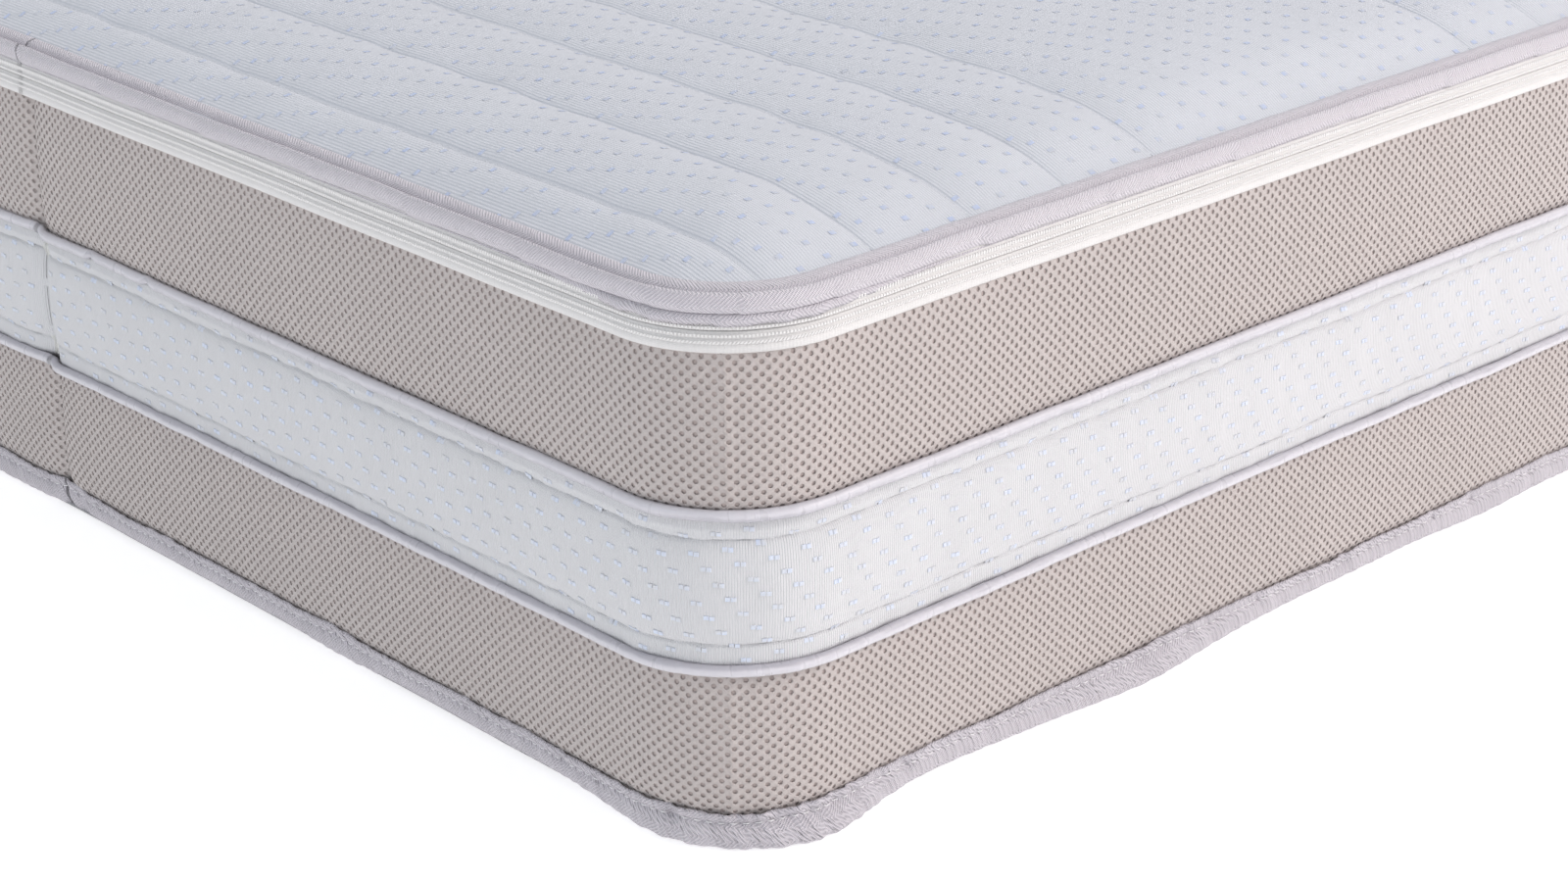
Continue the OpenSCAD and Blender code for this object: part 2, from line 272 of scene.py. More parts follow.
def new_mesh(name, points, faces, uv, kinds=None, flat=None):
    """A mesh from numpy faces of one to two sizes, with a map in metres."""
    mesh = bpy.data.meshes.new(name)
    faces = [np.asarray(f, np.int32) for f in faces if len(f)]
    loops = np.concatenate([f.ravel() for f in faces])
    counts = np.concatenate([np.full(len(f), f.shape[1], np.int32) for f in faces])
    mesh.vertices.add(len(points))
    mesh.vertices.foreach_set("co", np.asarray(points, np.float32).ravel())
    mesh.loops.add(len(loops))
    mesh.loops.foreach_set("vertex_index", loops)
    mesh.polygons.add(len(counts))
    mesh.polygons.foreach_set(
        "loop_start", np.concatenate([[0], np.cumsum(counts)[:-1]]).astype(np.int32)
    )
    layer = mesh.uv_layers.new(name=CLOTH_MAP)
    layer.uv.foreach_set("vector", np.asarray(uv, np.float32)[loops].ravel())
    smooth = np.ones(len(counts), bool)
    if flat is not None:
        smooth[flat] = False
    mesh.polygons.foreach_set("use_smooth", smooth)
    if kinds is not None:
        mesh.polygons.foreach_set("material_index", np.asarray(kinds, np.int32))
    mesh.update(calc_edges=True)
    mesh.validate()
    obj = bpy.data.objects.new(name, mesh)
    bpy.context.scene.collection.objects.link(obj)
    return obj


def grid_faces(rows, columns, close_rows=False, close_columns=False):
    """Quads of a grid whose rows run the first way and columns the second."""
    i = np.arange(rows if close_rows else rows - 1)
    j = np.arange(columns if close_columns else columns - 1)
    i, j = (a.ravel() for a in np.meshgrid(i, j, indexing="ij"))
    i2, j2 = (i + 1) % rows, (j + 1) % columns
    return np.stack(
        [i * columns + j, i2 * columns + j, i2 * columns + j2, i * columns + j2], -1
    )


def section_length(o, z):
    """Distance along each section from its first point."""
    step = np.hypot(np.diff(o, axis=1), np.diff(z, axis=1))
    return np.concatenate([np.zeros((len(o), 1)), np.cumsum(step, 1)], 1)


def ring(name, line, s, o, z, joined=True, extra=None):
    """Sweeps closed sections, drawn as offset and height, round the mattress."""
    points = line.place(s[:, None], o, z).reshape(-1, 3)
    run = section_length(o, z)
    uv = np.stack([np.broadcast_to(s[:, None], o.shape), run], -1).reshape(-1, 2)
    quads = grid_faces(len(s), o.shape[1], joined, True)
    if not joined:  # the two ends are closed by folding the section flat
        n = o.shape[1]
        half = n // 2
        ends = []
        for base, turn in ((0, False), ((len(s) - 1) * n, True)):
            for k in range(half - 1):
                f = [base + k, base + k + 1, base + n - 2 - k, base + n - 1 - k]
                ends.append(f if turn else f[::-1])
        quads = np.concatenate([quads, np.array(ends, int)])
    faces, kinds, flat = [quads], [np.zeros(len(quads), int)], None
    if extra is not None:
        more_points, more_quads, more_uv = extra
        faces.append(more_quads + len(points))
        kinds.append(np.ones(len(more_quads), int))
        points = np.concatenate([points, more_points])
        uv = np.concatenate([uv, more_uv])
        flat = np.arange(len(quads), len(quads) + len(more_quads))
    return new_mesh(name, points, faces, uv, np.concatenate(kinds), flat)


def studs(centre_u, centre_v, half_u, half_v, height, taper, lean=0.0):
    """Low raised pads in flat u, v, lift coordinates, and their faces."""
    cu, cv = (np.asarray(a, float).ravel() for a in (centre_u, centre_v))
    corner = np.array([[-1, -1], [1, -1], [1, 1], [-1, 1]], float)
    base = corner * [half_u, half_v]
    top = base * taper
    local = np.concatenate([base, top])
    local[:, 0] += lean * local[:, 1]
    lift = np.array([0] * 4 + [height] * 4, float)
    u = cu[:, None] + local[:, 0]
    v = cv[:, None] + local[:, 1]
    pattern = np.array([[4, 5, 6, 7], [0, 1, 5, 4], [1, 2, 6, 5], [2, 3, 7, 6], [3, 0, 4, 7]])
    quads = (np.arange(len(cu)) * 8)[:, None, None] + pattern
    return u, v, np.broadcast_to(lift, u.shape), quads.reshape(-1, 4)


def lattice(step_a, step_b, low_u, high_u, low_v, high_v):
    """Every point of a slanted repeat inside a rectangle."""
    a, b = np.array(step_a), np.array(step_b)
    reach = int(max(high_u - low_u, high_v - low_v) / min(np.hypot(*a), np.hypot(*b)) * 2) + 4
    inverse = np.linalg.inv(np.stack([a, b], 1))
    ends = np.array([[u, v] for u in (low_u, high_u) for v in (low_v, high_v)]) @ inverse.T
    lo, hi = np.floor(ends.min(0)).astype(int), np.ceil(ends.max(0)).astype(int)
    i, j = np.meshgrid(
        np.arange(max(lo[0], -reach), min(hi[0], reach) + 1),
        np.arange(max(lo[1], -reach), min(hi[1], reach) + 1),
        indexing="ij",
    )
    u, v = i * a[0] + j * b[0], i * a[1] + j * b[1]
    keep = (u > low_u) & (u < high_u) & (v > low_v) & (v < high_v)
    return u[keep], v[keep]


def softened(node, name, radius, segments=2):
    """A copy of a node's form with its hard edges rounded, in an object of its own."""
    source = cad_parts[node]
    form = bmesh.new()
    form.from_mesh(source.data)
    bmesh.ops.transform(form, matrix=source.matrix_world, verts=form.verts)
    bmesh.ops.remove_doubles(form, verts=form.verts, dist=1e-5)
    bmesh.ops.dissolve_limit(
        form, angle_limit=math.radians(1.0), verts=form.verts, edges=form.edges
    )
    hard = [
        e for e in form.edges if len(e.link_faces) == 2 and e.calc_face_angle(0) > 0.5
    ]
    bmesh.ops.bevel(
        form,
        geom=hard,
        offset=radius,
        offset_type="OFFSET",
        segments=segments,
        profile=0.5,
        affect="EDGES",
        clamp_overlap=True,
    )
    mesh = bpy.data.meshes.new(name)
    form.to_mesh(mesh)
    form.free()
    mesh.polygons.foreach_set("use_smooth", np.ones(len(mesh.polygons), bool))
    mesh.set_sharp_from_angle(angle=math.radians(50))
    obj = bpy.data.objects.new(name, mesh)
    bpy.context.scene.collection.objects.link(obj)
    return obj


def settle(obj, body, finishes, nodes):
    """Rides a piece on its body, dresses it and hides the nodes it stands for."""
    for finish in finishes:
        obj.data.materials.append(finish)
    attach(obj, body)
    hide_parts(*nodes)


# ---------------------------------------------------------------- finishes


class Finish:
    """A material under construction, with short ways to add its nodes."""

    def __init__(self, name, colour, roughness, sheen=0.0, specular=0.3):
        self.material = bpy.data.materials.new(name)
        self.material.use_nodes = True
        self.nodes = self.material.node_tree.nodes
        self.links = self.material.node_tree.links
        self.shader = next(n for n in self.nodes if n.type == "BSDF_PRINCIPLED")
        self.shader.inputs["Base Color"].default_value = (*colour, 1)
        self.shader.inputs["Roughness"].default_value = roughness
        self.shader.inputs["Specular IOR Level"].default_value = specular
        self.shader.inputs["Sheen Weight"].default_value = sheen

    def feed(self, socket, value):
        """Links a socket, or sets a plain value."""
        if isinstance(value, bpy.types.NodeSocket):
            self.links.new(value, socket)
        elif value is not None:
            socket.default_value = value

    def sum(self, kind, a, b=None, c=None, clamp=False):
        """One Math node."""
        node = self.nodes.new("ShaderNodeMath")
        node.operation, node.use_clamp = kind, clamp
        for socket, value in zip(node.inputs, (a, b, c)):
            self.feed(socket, value)
        return node.outputs[0]

    def map_uv(self):
        """The cloth's own map in metres, as two sockets."""
        node = self.nodes.new("ShaderNodeUVMap")
        node.uv_map = CLOTH_MAP
        return self.split(node.outputs[0])[:2]

    def split(self, vector):
        """The three parts of a vector."""
        node = self.nodes.new("ShaderNodeSeparateXYZ")
        self.links.new(vector, node.inputs[0])
        return node.outputs

    def join(self, x, y):
        """One flat vector from two sockets."""
        node = self.nodes.new("ShaderNodeCombineXYZ")
        for socket, value in zip(node.inputs, (x, y)):
            self.feed(socket, value)
        return node.outputs[0]

    def place(self):
        """Place on the mattress in metres."""
        return self.nodes.new("ShaderNodeTexCoord").outputs["Object"]

    def noise(self, vector, scale, detail=2.0, roughness=0.5):
        """Soft cloudy noise."""
        node = self.nodes.new("ShaderNodeTexNoise")
        self.links.new(vector, node.inputs["Vector"])
        node.inputs["Scale"].default_value = scale
        node.inputs["Detail"].default_value = detail
        node.inputs["Roughness"].default_value = roughness
        return node.outputs["Fac"]

    def pores(self, vector, scale):
        """Distance from the middles of scattered cells."""
        node = self.nodes.new("ShaderNodeTexVoronoi")
        self.links.new(vector, node.inputs["Vector"])
        node.inputs["Scale"].default_value = scale
        return node.outputs["Distance"]

    def rib(self, x, pitch, phase=0.0):
        """A smooth 0 to 1 wave with the given pitch in metres."""
        turn = self.sum("MULTIPLY_ADD", x, 2 * math.pi / pitch, phase)
        return self.sum("MULTIPLY_ADD", self.sum("SINE", turn), 0.5, 0.5)

    def ramp(self, value, low, high):
        """A soft step from 0 at low to 1 at high."""
        node = self.nodes.new("ShaderNodeMapRange")
        node.interpolation_type = "SMOOTHSTEP"
        self.links.new(value, node.inputs["Value"])
        node.inputs["From Min"].default_value = low
        node.inputs["From Max"].default_value = high
        return node.outputs["Result"]

    def blend(self, share, a, b):
        """A mix of two colours."""
        node = self.nodes.new("ShaderNodeMix")
        node.data_type = "RGBA"
        self.feed(node.inputs["Factor"], share)
        self.feed(node.inputs["A"], (*a, 1) if isinstance(a, (tuple, list)) else a)
        self.feed(node.inputs["B"], (*b, 1) if isinstance(b, (tuple, list)) else b)
        return node.outputs["Result"]

    def colour(self, socket):
        self.links.new(socket, self.shader.inputs["Base Color"])

    def roughness(self, socket):
        self.links.new(socket, self.shader.inputs["Roughness"])

    def relief(self, *layers):
        """Bumps laid over each other, each a height socket with its depth in metres."""
        normal = None
        for height, depth in layers:
            node = self.nodes.new("ShaderNodeBump")
            node.inputs["Distance"].default_value = depth
            self.links.new(height, node.inputs["Height"])
            if normal is not None:
                self.links.new(normal, node.inputs["Normal"])
            normal = node.outputs["Normal"]
        self.links.new(normal, self.shader.inputs["Normal"])
        return self.material


def shade(colour, factor):
    """A colour made darker or lighter."""
    return tuple(min(1.0, c * factor) for c in colour)


def knit_finish(name, ground, course, wale):
    """Fine warp-knit ticking with a slight sheen."""
    f = Finish(name, ground, 0.78, sheen=0.25, specular=0.25)
    u, v = f.map_uv()
    drift = f.noise(f.join(u, v), 900, 2)
    u_knit = f.sum("MULTIPLY_ADD", drift, 0.0001, u)
    ribs = f.rib(u_knit, course)
    rows = f.rib(f.sum("MULTIPLY_ADD", ribs, 0.0002, v), wale)
    loops = f.sum("MULTIPLY", ribs, rows)
    cloud = f.noise(f.join(u, v), 22, 3)
    tone = f.sum("MULTIPLY_ADD", loops, 0.55, f.sum("MULTIPLY", cloud, 0.45))
    f.colour(f.blend(tone, shade(ground, 0.89), shade(ground, 1.07)))
    f.roughness(f.sum("MULTIPLY_ADD", loops, -0.12, 0.84))
    return f.relief((ribs, 0.00014), (loops, 0.00014), (drift, 0.00006))


def motif_finish(name, ground, tinted):
    """Raised dots of looser, shinier yarn."""
    f = Finish(name, tinted, 0.6, sheen=0.3, specular=0.4)
    u, v = f.map_uv()
    strands = f.rib(u, 0.0005)
    cloud = f.noise(f.join(u, v), 160, 2)
    f.colour(f.blend(f.ramp(cloud, 0.2, 0.8), ground, tinted))
    return f.relief((strands, 0.00015))


def twill_finish(name, ground, hollow, pleats):
    """Herringbone binding tape, its diagonals turning over at the middle, with painted shade in the
    weave's hollows and painted light and shade along its gathers and streaks.
    """
    f = Finish(name, ground, 0.62, sheen=0.15, specular=0.35)
    u, v = f.map_uv()
    lean = f.sum("PINGPONG", v, 0.0055)
    diagonal = f.rib(f.sum("ADD", u, lean), 0.0017)
    picks = f.rib(f.sum("SUBTRACT", u, lean), 0.0009)
    weave = f.sum("MULTIPLY_ADD", picks, 0.3, f.sum("MULTIPLY", diagonal, 0.7))
    slanted = f.sum("MULTIPLY_ADD", v, 0.45, u)
    gathers = f.rib(f.sum("MULTIPLY_ADD", f.noise(f.join(slanted, 0.0), 260, 2), 0.004, slanted), 0.0026)
    streaks = f.ramp(f.noise(f.join(slanted, f.sum("MULTIPLY", v, 0.12)), 130, 3), 0.3, 0.7)
    # painted light and shade: the gathers' and streaks' ridges are painted lighter and their folds darker,
    # following their bumps, and the weave's hollows take the painted shade colour
    part = 0.14 * pleats
    drawn = f.sum("MULTIPLY_ADD", gathers, part, f.sum("MULTIPLY", streaks, part))
    tone = f.sum("ADD", drawn, f.sum("MULTIPLY_ADD", weave, 0.55, 0.45 - 2 * part))
    f.colour(f.blend(tone, hollow, shade(ground, 1.04)))
    f.roughness(f.sum("MULTIPLY_ADD", weave, -0.15, 0.72))
    return f.relief((weave, 0.0005), (gathers, 0.00028 * pleats), (streaks, 0.0004 * pleats))


def yarn_finish(name, light, dark):
    """Twisted mesh yarn."""
    f = Finish(name, light, 0.6, sheen=0.2, specular=0.35)
    u, v = f.map_uv()
    twist = f.rib(f.sum("ADD", u, v), 0.0005)
    grain = f.noise(f.join(u, v), 1400, 2)
    cloud = f.noise(f.join(u, v), 14, 2)
    soft = f.sum("MULTIPLY_ADD", grain, 0.4, f.sum("MULTIPLY", cloud, 0.3))
    tone = f.sum("MULTIPLY_ADD", twist, 0.3, soft)
    f.colour(f.blend(tone, dark, light))
    return f.relief((grain, 0.00015), (twist, 0.0001))


def satin_finish(name, ground, light, turn, girth):
    """Bias-cut satin with a painted highlight along one side of the cord, at an angle from straight out,
    over a painted shade colour.
    """
    f = Finish(name, ground, 0.30, sheen=0.1, specular=0.9)
    f.shader.inputs["Coat Weight"].default_value = 0.5
    f.shader.inputs["Coat Roughness"].default_value = 0.22
    f.shader.inputs["Anisotropic"].default_value = 0.4
    u, v = f.map_uv()
    strands = f.rib(f.sum("ADD", u, v), 0.0005)
    puckers = f.noise(f.join(f.sum("MULTIPLY", u, 4.0), v), 70, 3)
    # painted highlight: a band of the lighter colour at the given turn round the cord, spread by the
    # puckers; the rest keeps the painted shade colour
    bright = f.rib(f.sum("MULTIPLY_ADD", puckers, 0.0012, v), girth, 1.5 * math.pi - math.radians(turn))
    share = f.sum("MULTIPLY_ADD", puckers, 0.2, f.ramp(bright, 0.7, 0.97), clamp=True)
    f.colour(f.blend(share, ground, light))
    f.roughness(f.sum("MULTIPLY_ADD", puckers, 0.2, 0.2))
    return f.relief((strands, 0.00006), (puckers, 0.0005))


def tape_finish(name, ground, pitch):
    """Tightly woven zip tape."""
    f = Finish(name, ground, 0.66, sheen=0.12, specular=0.3)
    u, v = f.map_uv()
    warp, weft = f.rib(v, 0.0007), f.rib(u, pitch)
    weave = f.sum("MULTIPLY", warp, weft)
    cloud = f.noise(f.join(u, v), 60, 3)
    tone = f.sum("MULTIPLY_ADD", weave, 0.5, f.sum("MULTIPLY", cloud, 0.5))
    f.colour(f.blend(tone, shade(ground, 0.9), shade(ground, 1.06)))
    return f.relief((weave, 0.00012), (cloud, 0.0002))


def plastic_finish(name, ground):
    """Translucent-looking polyester teeth."""
    f = Finish(name, ground, 0.42, specular=0.45)
    u, v = f.map_uv()
    grain = f.noise(f.join(u, v), 500, 2)
    f.colour(f.blend(grain, shade(ground, 0.92), shade(ground, 1.05)))
    f.roughness(f.sum("MULTIPLY_ADD", grain, 0.2, 0.32))
    return f.relief((grain, 0.00006))


def thread_finish(name, ground):
    """Twisted sewing thread."""
    f = Finish(name, ground, 0.5, sheen=0.2, specular=0.4)
    x, y, _ = f.split(f.place())
    twist = f.rib(f.sum("ADD", x, y), 0.0006)
    f.colour(f.blend(twist, shade(ground, 0.82), shade(ground, 1.05)))
    return f.relief((twist, 0.0001))


def foam_finish(name, ground, pore):
    """Open-cell foam with a cut face."""
    f = Finish(name, ground, 0.9, specular=0.15)
    place = f.place()
    cells = f.pores(place, 1 / pore)
    fine = f.pores(place, 2.3 / pore)
    cloud = f.noise(place, 9, 3)
    open_cells = f.ramp(cells, 0.1, 0.55)
    tone = f.sum("MULTIPLY_ADD", open_cells, 0.5, f.sum("MULTIPLY", cloud, 0.5))
    f.colour(f.blend(tone, shade(ground, 0.78), shade(ground, 1.08)))
    f.roughness(f.sum("MULTIPLY_ADD", cloud, 0.1, 0.86))
    return f.relief((open_cells, 0.0006), (fine, 0.0003))


def fibre_finish(name, ground, clump):
    """Felted or brushed fibre."""
    f = Finish(name, ground, 0.95, sheen=0.4, specular=0.1)
    place = f.place()
    fibres = f.noise(place, 1800, 4, 0.7)
    clumps = f.noise(place, 1 / clump, 4, 0.6)
    f.colour(f.blend(f.ramp(clumps, 0.25, 0.75), shade(ground, 0.8), shade(ground, 1.15)))
    f.roughness(f.sum("MULTIPLY_ADD", fibres, 0.08, 0.88))
    return f.relief((fibres, 0.0004), (clumps, 0.0008))


def base_finish(name, ground):
    """Spun-bonded base cloth with an embossed grid."""
    f = Finish(name, ground, 0.85, sheen=0.1, specular=0.2)
    place = f.place()
    x, y, _ = f.split(place)
    grid = f.sum("MULTIPLY", f.rib(x, 0.003), f.rib(y, 0.003))
    fibres = f.noise(place, 700, 4, 0.7)
    tone = f.sum("MULTIPLY_ADD", grid, 0.4, f.sum("MULTIPLY", fibres, 0.6))
    f.colour(f.blend(tone, shade(ground, 0.8), shade(ground, 1.12)))
    return f.relief((grid, 0.0003), (fibres, 0.0002))


def jersey_finish(name, ground):
    """Stretch jersey with fine wales."""
    f = Finish(name, ground, 0.85, sheen=0.3, specular=0.2)
    place = f.place()
    x, y, z = f.split(place)
    wales = f.rib(f.sum("ADD", x, z), 0.0014)
    courses = f.rib(f.sum("MULTIPLY_ADD", wales, 0.0003, y), 0.0012)
    cloud = f.noise(place, 12, 3)
    loops = f.sum("MULTIPLY", wales, courses)
    tone = f.sum("MULTIPLY_ADD", loops, 0.5, f.sum("MULTIPLY", cloud, 0.5))
    f.colour(f.blend(tone, shade(ground, 0.86), shade(ground, 1.06)))
    return f.relief((wales, 0.0002), (courses, 0.0001))


def metal_finish(name, ground):
    """Lacquered zinc with light wear."""
    f = Finish(name, ground, 0.3, specular=0.6)
    f.shader.inputs["Metallic"].default_value = 0.85
    place = f.place()
    scuffs = f.noise(place, 900, 3, 0.6)
    wear = f.noise(place, 120, 3)
    f.colour(f.blend(f.ramp(wear, 0.35, 0.75), shade(ground, 0.85), shade(ground, 1.08)))
    f.roughness(f.sum("MULTIPLY_ADD", scuffs, 0.25, 0.2))
    return f.relief((scuffs, 0.00003))


# ---------------------------------------------------------------- forms of the cover


def join_pull(line, s):
    """How far the bands are drawn in near the border's join."""
    return -sizes().join_depth * line.near(s, 0.0, 6 * MM, 1)


def join_step(line, s):
    """The bands sit higher on the head side of the join than on its foot side."""
    step, reach, blend = 1.7 * MM, 22 * MM, 3 * MM
    side = np.where(np.mod(s, line.length) < line.length / 2, -1.0, 1.0)
    return step * side * line.near(s, 0.0, reach, 1) * (1 - line.near(s, 0.0, blend))


def mesh_offset(line, s, z, low, high):
    """Offset of the mesh band's face, full in the middle and tucked at both seams."""
    above, below = np.maximum((z - low) / MM, -2), np.maximum((high - z) / MM, -2)
    swell = 1.1 - 1.9 * np.exp(-above / 5) - 2.3 * np.exp(-below / 12)
    ridge = 0.8 * line.near(s, line.first_turn, 2.2 * MM)
    middle = np.sin(np.clip((z - low) / (high - low), 0, 1) * math.pi)
    loose = 0.35 * wander(s, line.length, 11, 0.5, 0.06, 5) * middle
    return (swell + ridge + loose) * MM + join_pull(line, s)


def band_offset(line, s, z, low, high):
    """Offset of the padded band's face, with a flat strip and a fold at each seam."""
    length = line.length
    foot_strip, head_strip, seam = 8.0 * MM, 8.2 * MM, 4 * MM
    wave = 0.5 * MM * wander(s, length, 21, 0.2, 0.03, 5)
    folds = low + foot_strip + wave, high - head_strip - wave
    t = (z - folds[0]) / (folds[1] - folds[0])
    inside = np.clip(4 * t * (1 - t), 0, 1)
    foot = -0.3 - 0.2 * (1 - np.clip((z - low) / seam, 0, 1)) ** 2
    head = -0.3 - 0.8 * (1 - np.clip((high - z) / seam, 0, 1)) ** 2
    offset = np.where(t < 0, foot, -1.3 + 3.4 * inside**0.42)
    offset = np.where(t > 1, head, offset)
    groove = 0.7 * sum(np.exp(-(((z - fold) / (0.7 * MM)) ** 2)) for fold in folds)
    ridge = 0.5 * np.exp(-(((z - high + 4.2 * MM) / (0.8 * MM)) ** 2))
    pucker = 0.28 * wander(s, length, 22, 0.03, 0.008, 6) * (0.3 + 0.7 * (1 - inside))
    soft = 0.35 * wander(s, length, 23, 0.3, 0.05, 5) + 0.22 * wander(s, length, 24, 0.03, 0.016, 4)
    return (offset - groove + ridge + pucker + soft * inside) * MM + join_pull(line, s)


def quilt_places():
    """Where the quilting rows lie across the panel."""
    z = sizes()
    repeat = z.quilt_rows - 1 + z.quilt_skip
    last = int((2 * side_high[0] - 2 * z.quilt_first) / z.quilt_pitch)
    return [
        side_low[0] + z.quilt_first + i * z.quilt_pitch
        for i in range(last + 1)
        if i % repeat < z.quilt_rows
    ]


def inside_edge(x, y):
    """Distance inside the side faces' plan line."""
    r = sizes().corner_radius
    qx, qy = np.abs(x) - side_high[0] + r, np.abs(y) - side_high[1] + r
    out = np.hypot(np.maximum(qx, 0), np.maximum(qy, 0)) + np.minimum(np.maximum(qx, qy), 0) - r
    return -out


def panel_height(x, y, edge_z):
    """Height of the quilted panel over the floor."""
    z = sizes()
    d = inside_edge(x, y)
    crown = z.crown * (1 - np.exp(-np.maximum(d - 10 * MM, 0) / z.crown_reach))
    places = np.array([side_low[0] - 0.02, *quilt_places(), side_high[0] + 0.02])
    k = np.clip(np.searchsorted(places, x) - 1, 0, len(places) - 2)
    left, right = places[k], places[k + 1]
    wide = right - left > 1.5 * z.quilt_pitch
    t = np.clip((x - left) / (right - left), 0, 1)
    rise = np.where(wide, z.wide_puff, z.puff)
    full = 1 - np.abs(2 * t - 1) ** np.where(wide, 5.0, 2.3)
    near = smooth_step(d, 8 * MM, 45 * MM)
    row = np.minimum(np.abs(x - left), np.abs(x - right))
    crease = 0.9 * MM * np.exp(-row / (1.3 * MM)) * smooth_step(d, 9 * MM, 14 * MM)
    drawn = 0.5 * MM * patches(x * 0.6, y * 1.6, 31, 0.06) * np.exp(-row / (12 * MM)) * near
    lie = 0.8 * MM * patches(x, y, 32, 0.35) * near
    puff = rise * full * (0.25 + 0.75 * near) * smooth_step(d, 9 * MM, 22 * MM)
    bound = 1.2 * MM * (1 - smooth_step(d, 3 * MM, 10 * MM))
    return edge_z - bound + crown + puff - crease + drawn + lie


# ---------------------------------------------------------------- operators


class MATTRESS_OT_mesh_bands(bpy.types.Operator):
    """Builds both spacer mesh bands as open nets over their inner layer"""

    bl_idname = "mattress.mesh_bands"
    bl_label = "Mesh bands"

    def execute(self, context):
        line = SideLine()
        c = colours()
        net = yarn_finish("mesh_yarn", tuple(c.mesh_yarn), shade(c.mesh_yarn, 0.78))
        back = yarn_finish("mesh_back", shade(c.mesh_back, 1.05), shade(c.mesh_back, 0.8))
        bands = (
            ("upper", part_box("upper_piping_sleeve")[1][2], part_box("upper_mesh_band")[1][2]),
            ("lower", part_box("bottom_edge_tape")[1][2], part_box("lower_piping_sleeve")[0][2]),
        )
        for name, low, high in bands:
            self.net(name, line, low, high, net)
            self.inner_layer(name, line, low, high, back)
        return {"FINISHED"}

    def net(self, name, line, low, high, finish):
        """One band's face, in lengths that meet edge to edge."""
        z = sizes()
        columns = round(line.length / z.hole_pitch)
        pitch, rise = line.length / columns, z.hole_rows
        sunk, wall, scatter = -0.42 * MM, -0.5 * MM, 0.05 * MM
        rows = int((high - low) / rise) + 3
        start = low - 1.2 * rise
        lengths = 6
        cuts = [round(columns * k / lengths) for k in range(lengths + 1)]
        for k in range(lengths):
            c, r = np.meshgrid(np.arange(cuts[k], cuts[k + 1]), np.arange(rows), indexing="ij")
            c, r = c.ravel(), r.ravel()
            i = 2 * c + r % 2
            centre = np.stack([(i + 1) * pitch / 2, start + r * rise], -1)
            keys = np.stack([(i + 1), r + 1, i, r + 2, i - 1, r + 1, i, r], -1).reshape(-1, 4, 2)
            flat_keys = keys[..., 0] * (rows + 4) + keys[..., 1]
            unique, index = np.unique(flat_keys.ravel(), return_inverse=True)
            index = index.reshape(-1, 4)
            node = np.stack(
                [(unique // (rows + 4) + 1) * pitch / 2, start + (unique % (rows + 4) - 1) * rise], -1
            )
            angle = np.arange(8) * math.pi / 4
            rim = np.stack([np.cos(angle), np.sin(angle)], -1) * z.hole_width / 2
            jitter = np.random.default_rng(40 + k).normal(0, scatter, (len(c), 1, 2))
            ring_at = centre[:, None] + rim + jitter
            wall_at = centre[:, None] + rim * 0.92 + jitter
            flat_points = np.concatenate([node, ring_at.reshape(-1, 2), wall_at.reshape(-1, 2)])
            lift = np.repeat([sunk, 0.0, wall], [len(node), len(c) * 8, len(c) * 8])
            offset = mesh_offset(line, flat_points[:, 0], flat_points[:, 1], low, high)
            points = line.place(flat_points[:, 0], offset + lift, flat_points[:, 1])
            rim_i = len(node) + np.arange(len(c) * 8).reshape(-1, 8)
            wall_i = rim_i + len(c) * 8
            tris, quads = [], []
            for q in range(4):
                a, b = index[:, q], index[:, (q + 1) % 4]
                r0, r1, r2 = rim_i[:, 2 * q], rim_i[:, 2 * q + 1], rim_i[:, (2 * q + 2) % 8]
                tris += [np.stack(t, -1) for t in ((a, b, r1), (a, r1, r0), (b, r2, r1))]
            for q in range(8):
                n = (q + 1) % 8
                quads.append(np.stack([rim_i[:, q], rim_i[:, n], wall_i[:, n], wall_i[:, q]], -1))
            tris, quads = np.concatenate(tris), np.concatenate(quads)
            flat = np.arange(len(tris), len(tris) + len(quads))
            obj = new_mesh(f"{name}_mesh_net_{k + 1}", points, [tris, quads], flat_points, flat=flat)
            settle(obj, REST_BODY, [finish], [f"{name}_mesh_band"])

    def inner_layer(self, name, line, low, high, finish):
        """The dense layer that shows through the holes, closed with its hidden back."""
        s = line.rings(SPACER_RINGS, joined=False)
        z = np.linspace(low - 2.5 * MM, high + 2 * MM, 20)
        front = mesh_offset(line, s[:, None], z[None], low, high) - sizes().mesh_depth
        back = np.full_like(front, -4.9 * MM) + join_pull(line, s)[:, None]
        o = np.concatenate([front, np.minimum(back, front - 0.4 * MM)[:, ::-1]], 1)
        zz = np.broadcast_to(np.concatenate([z, z[::-1]]), o.shape)
        obj = ring(f"{name}_mesh_spacer", line, s, o, zz, joined=False)
        settle(obj, REST_BODY, [finish], [f"{name}_mesh_band"])


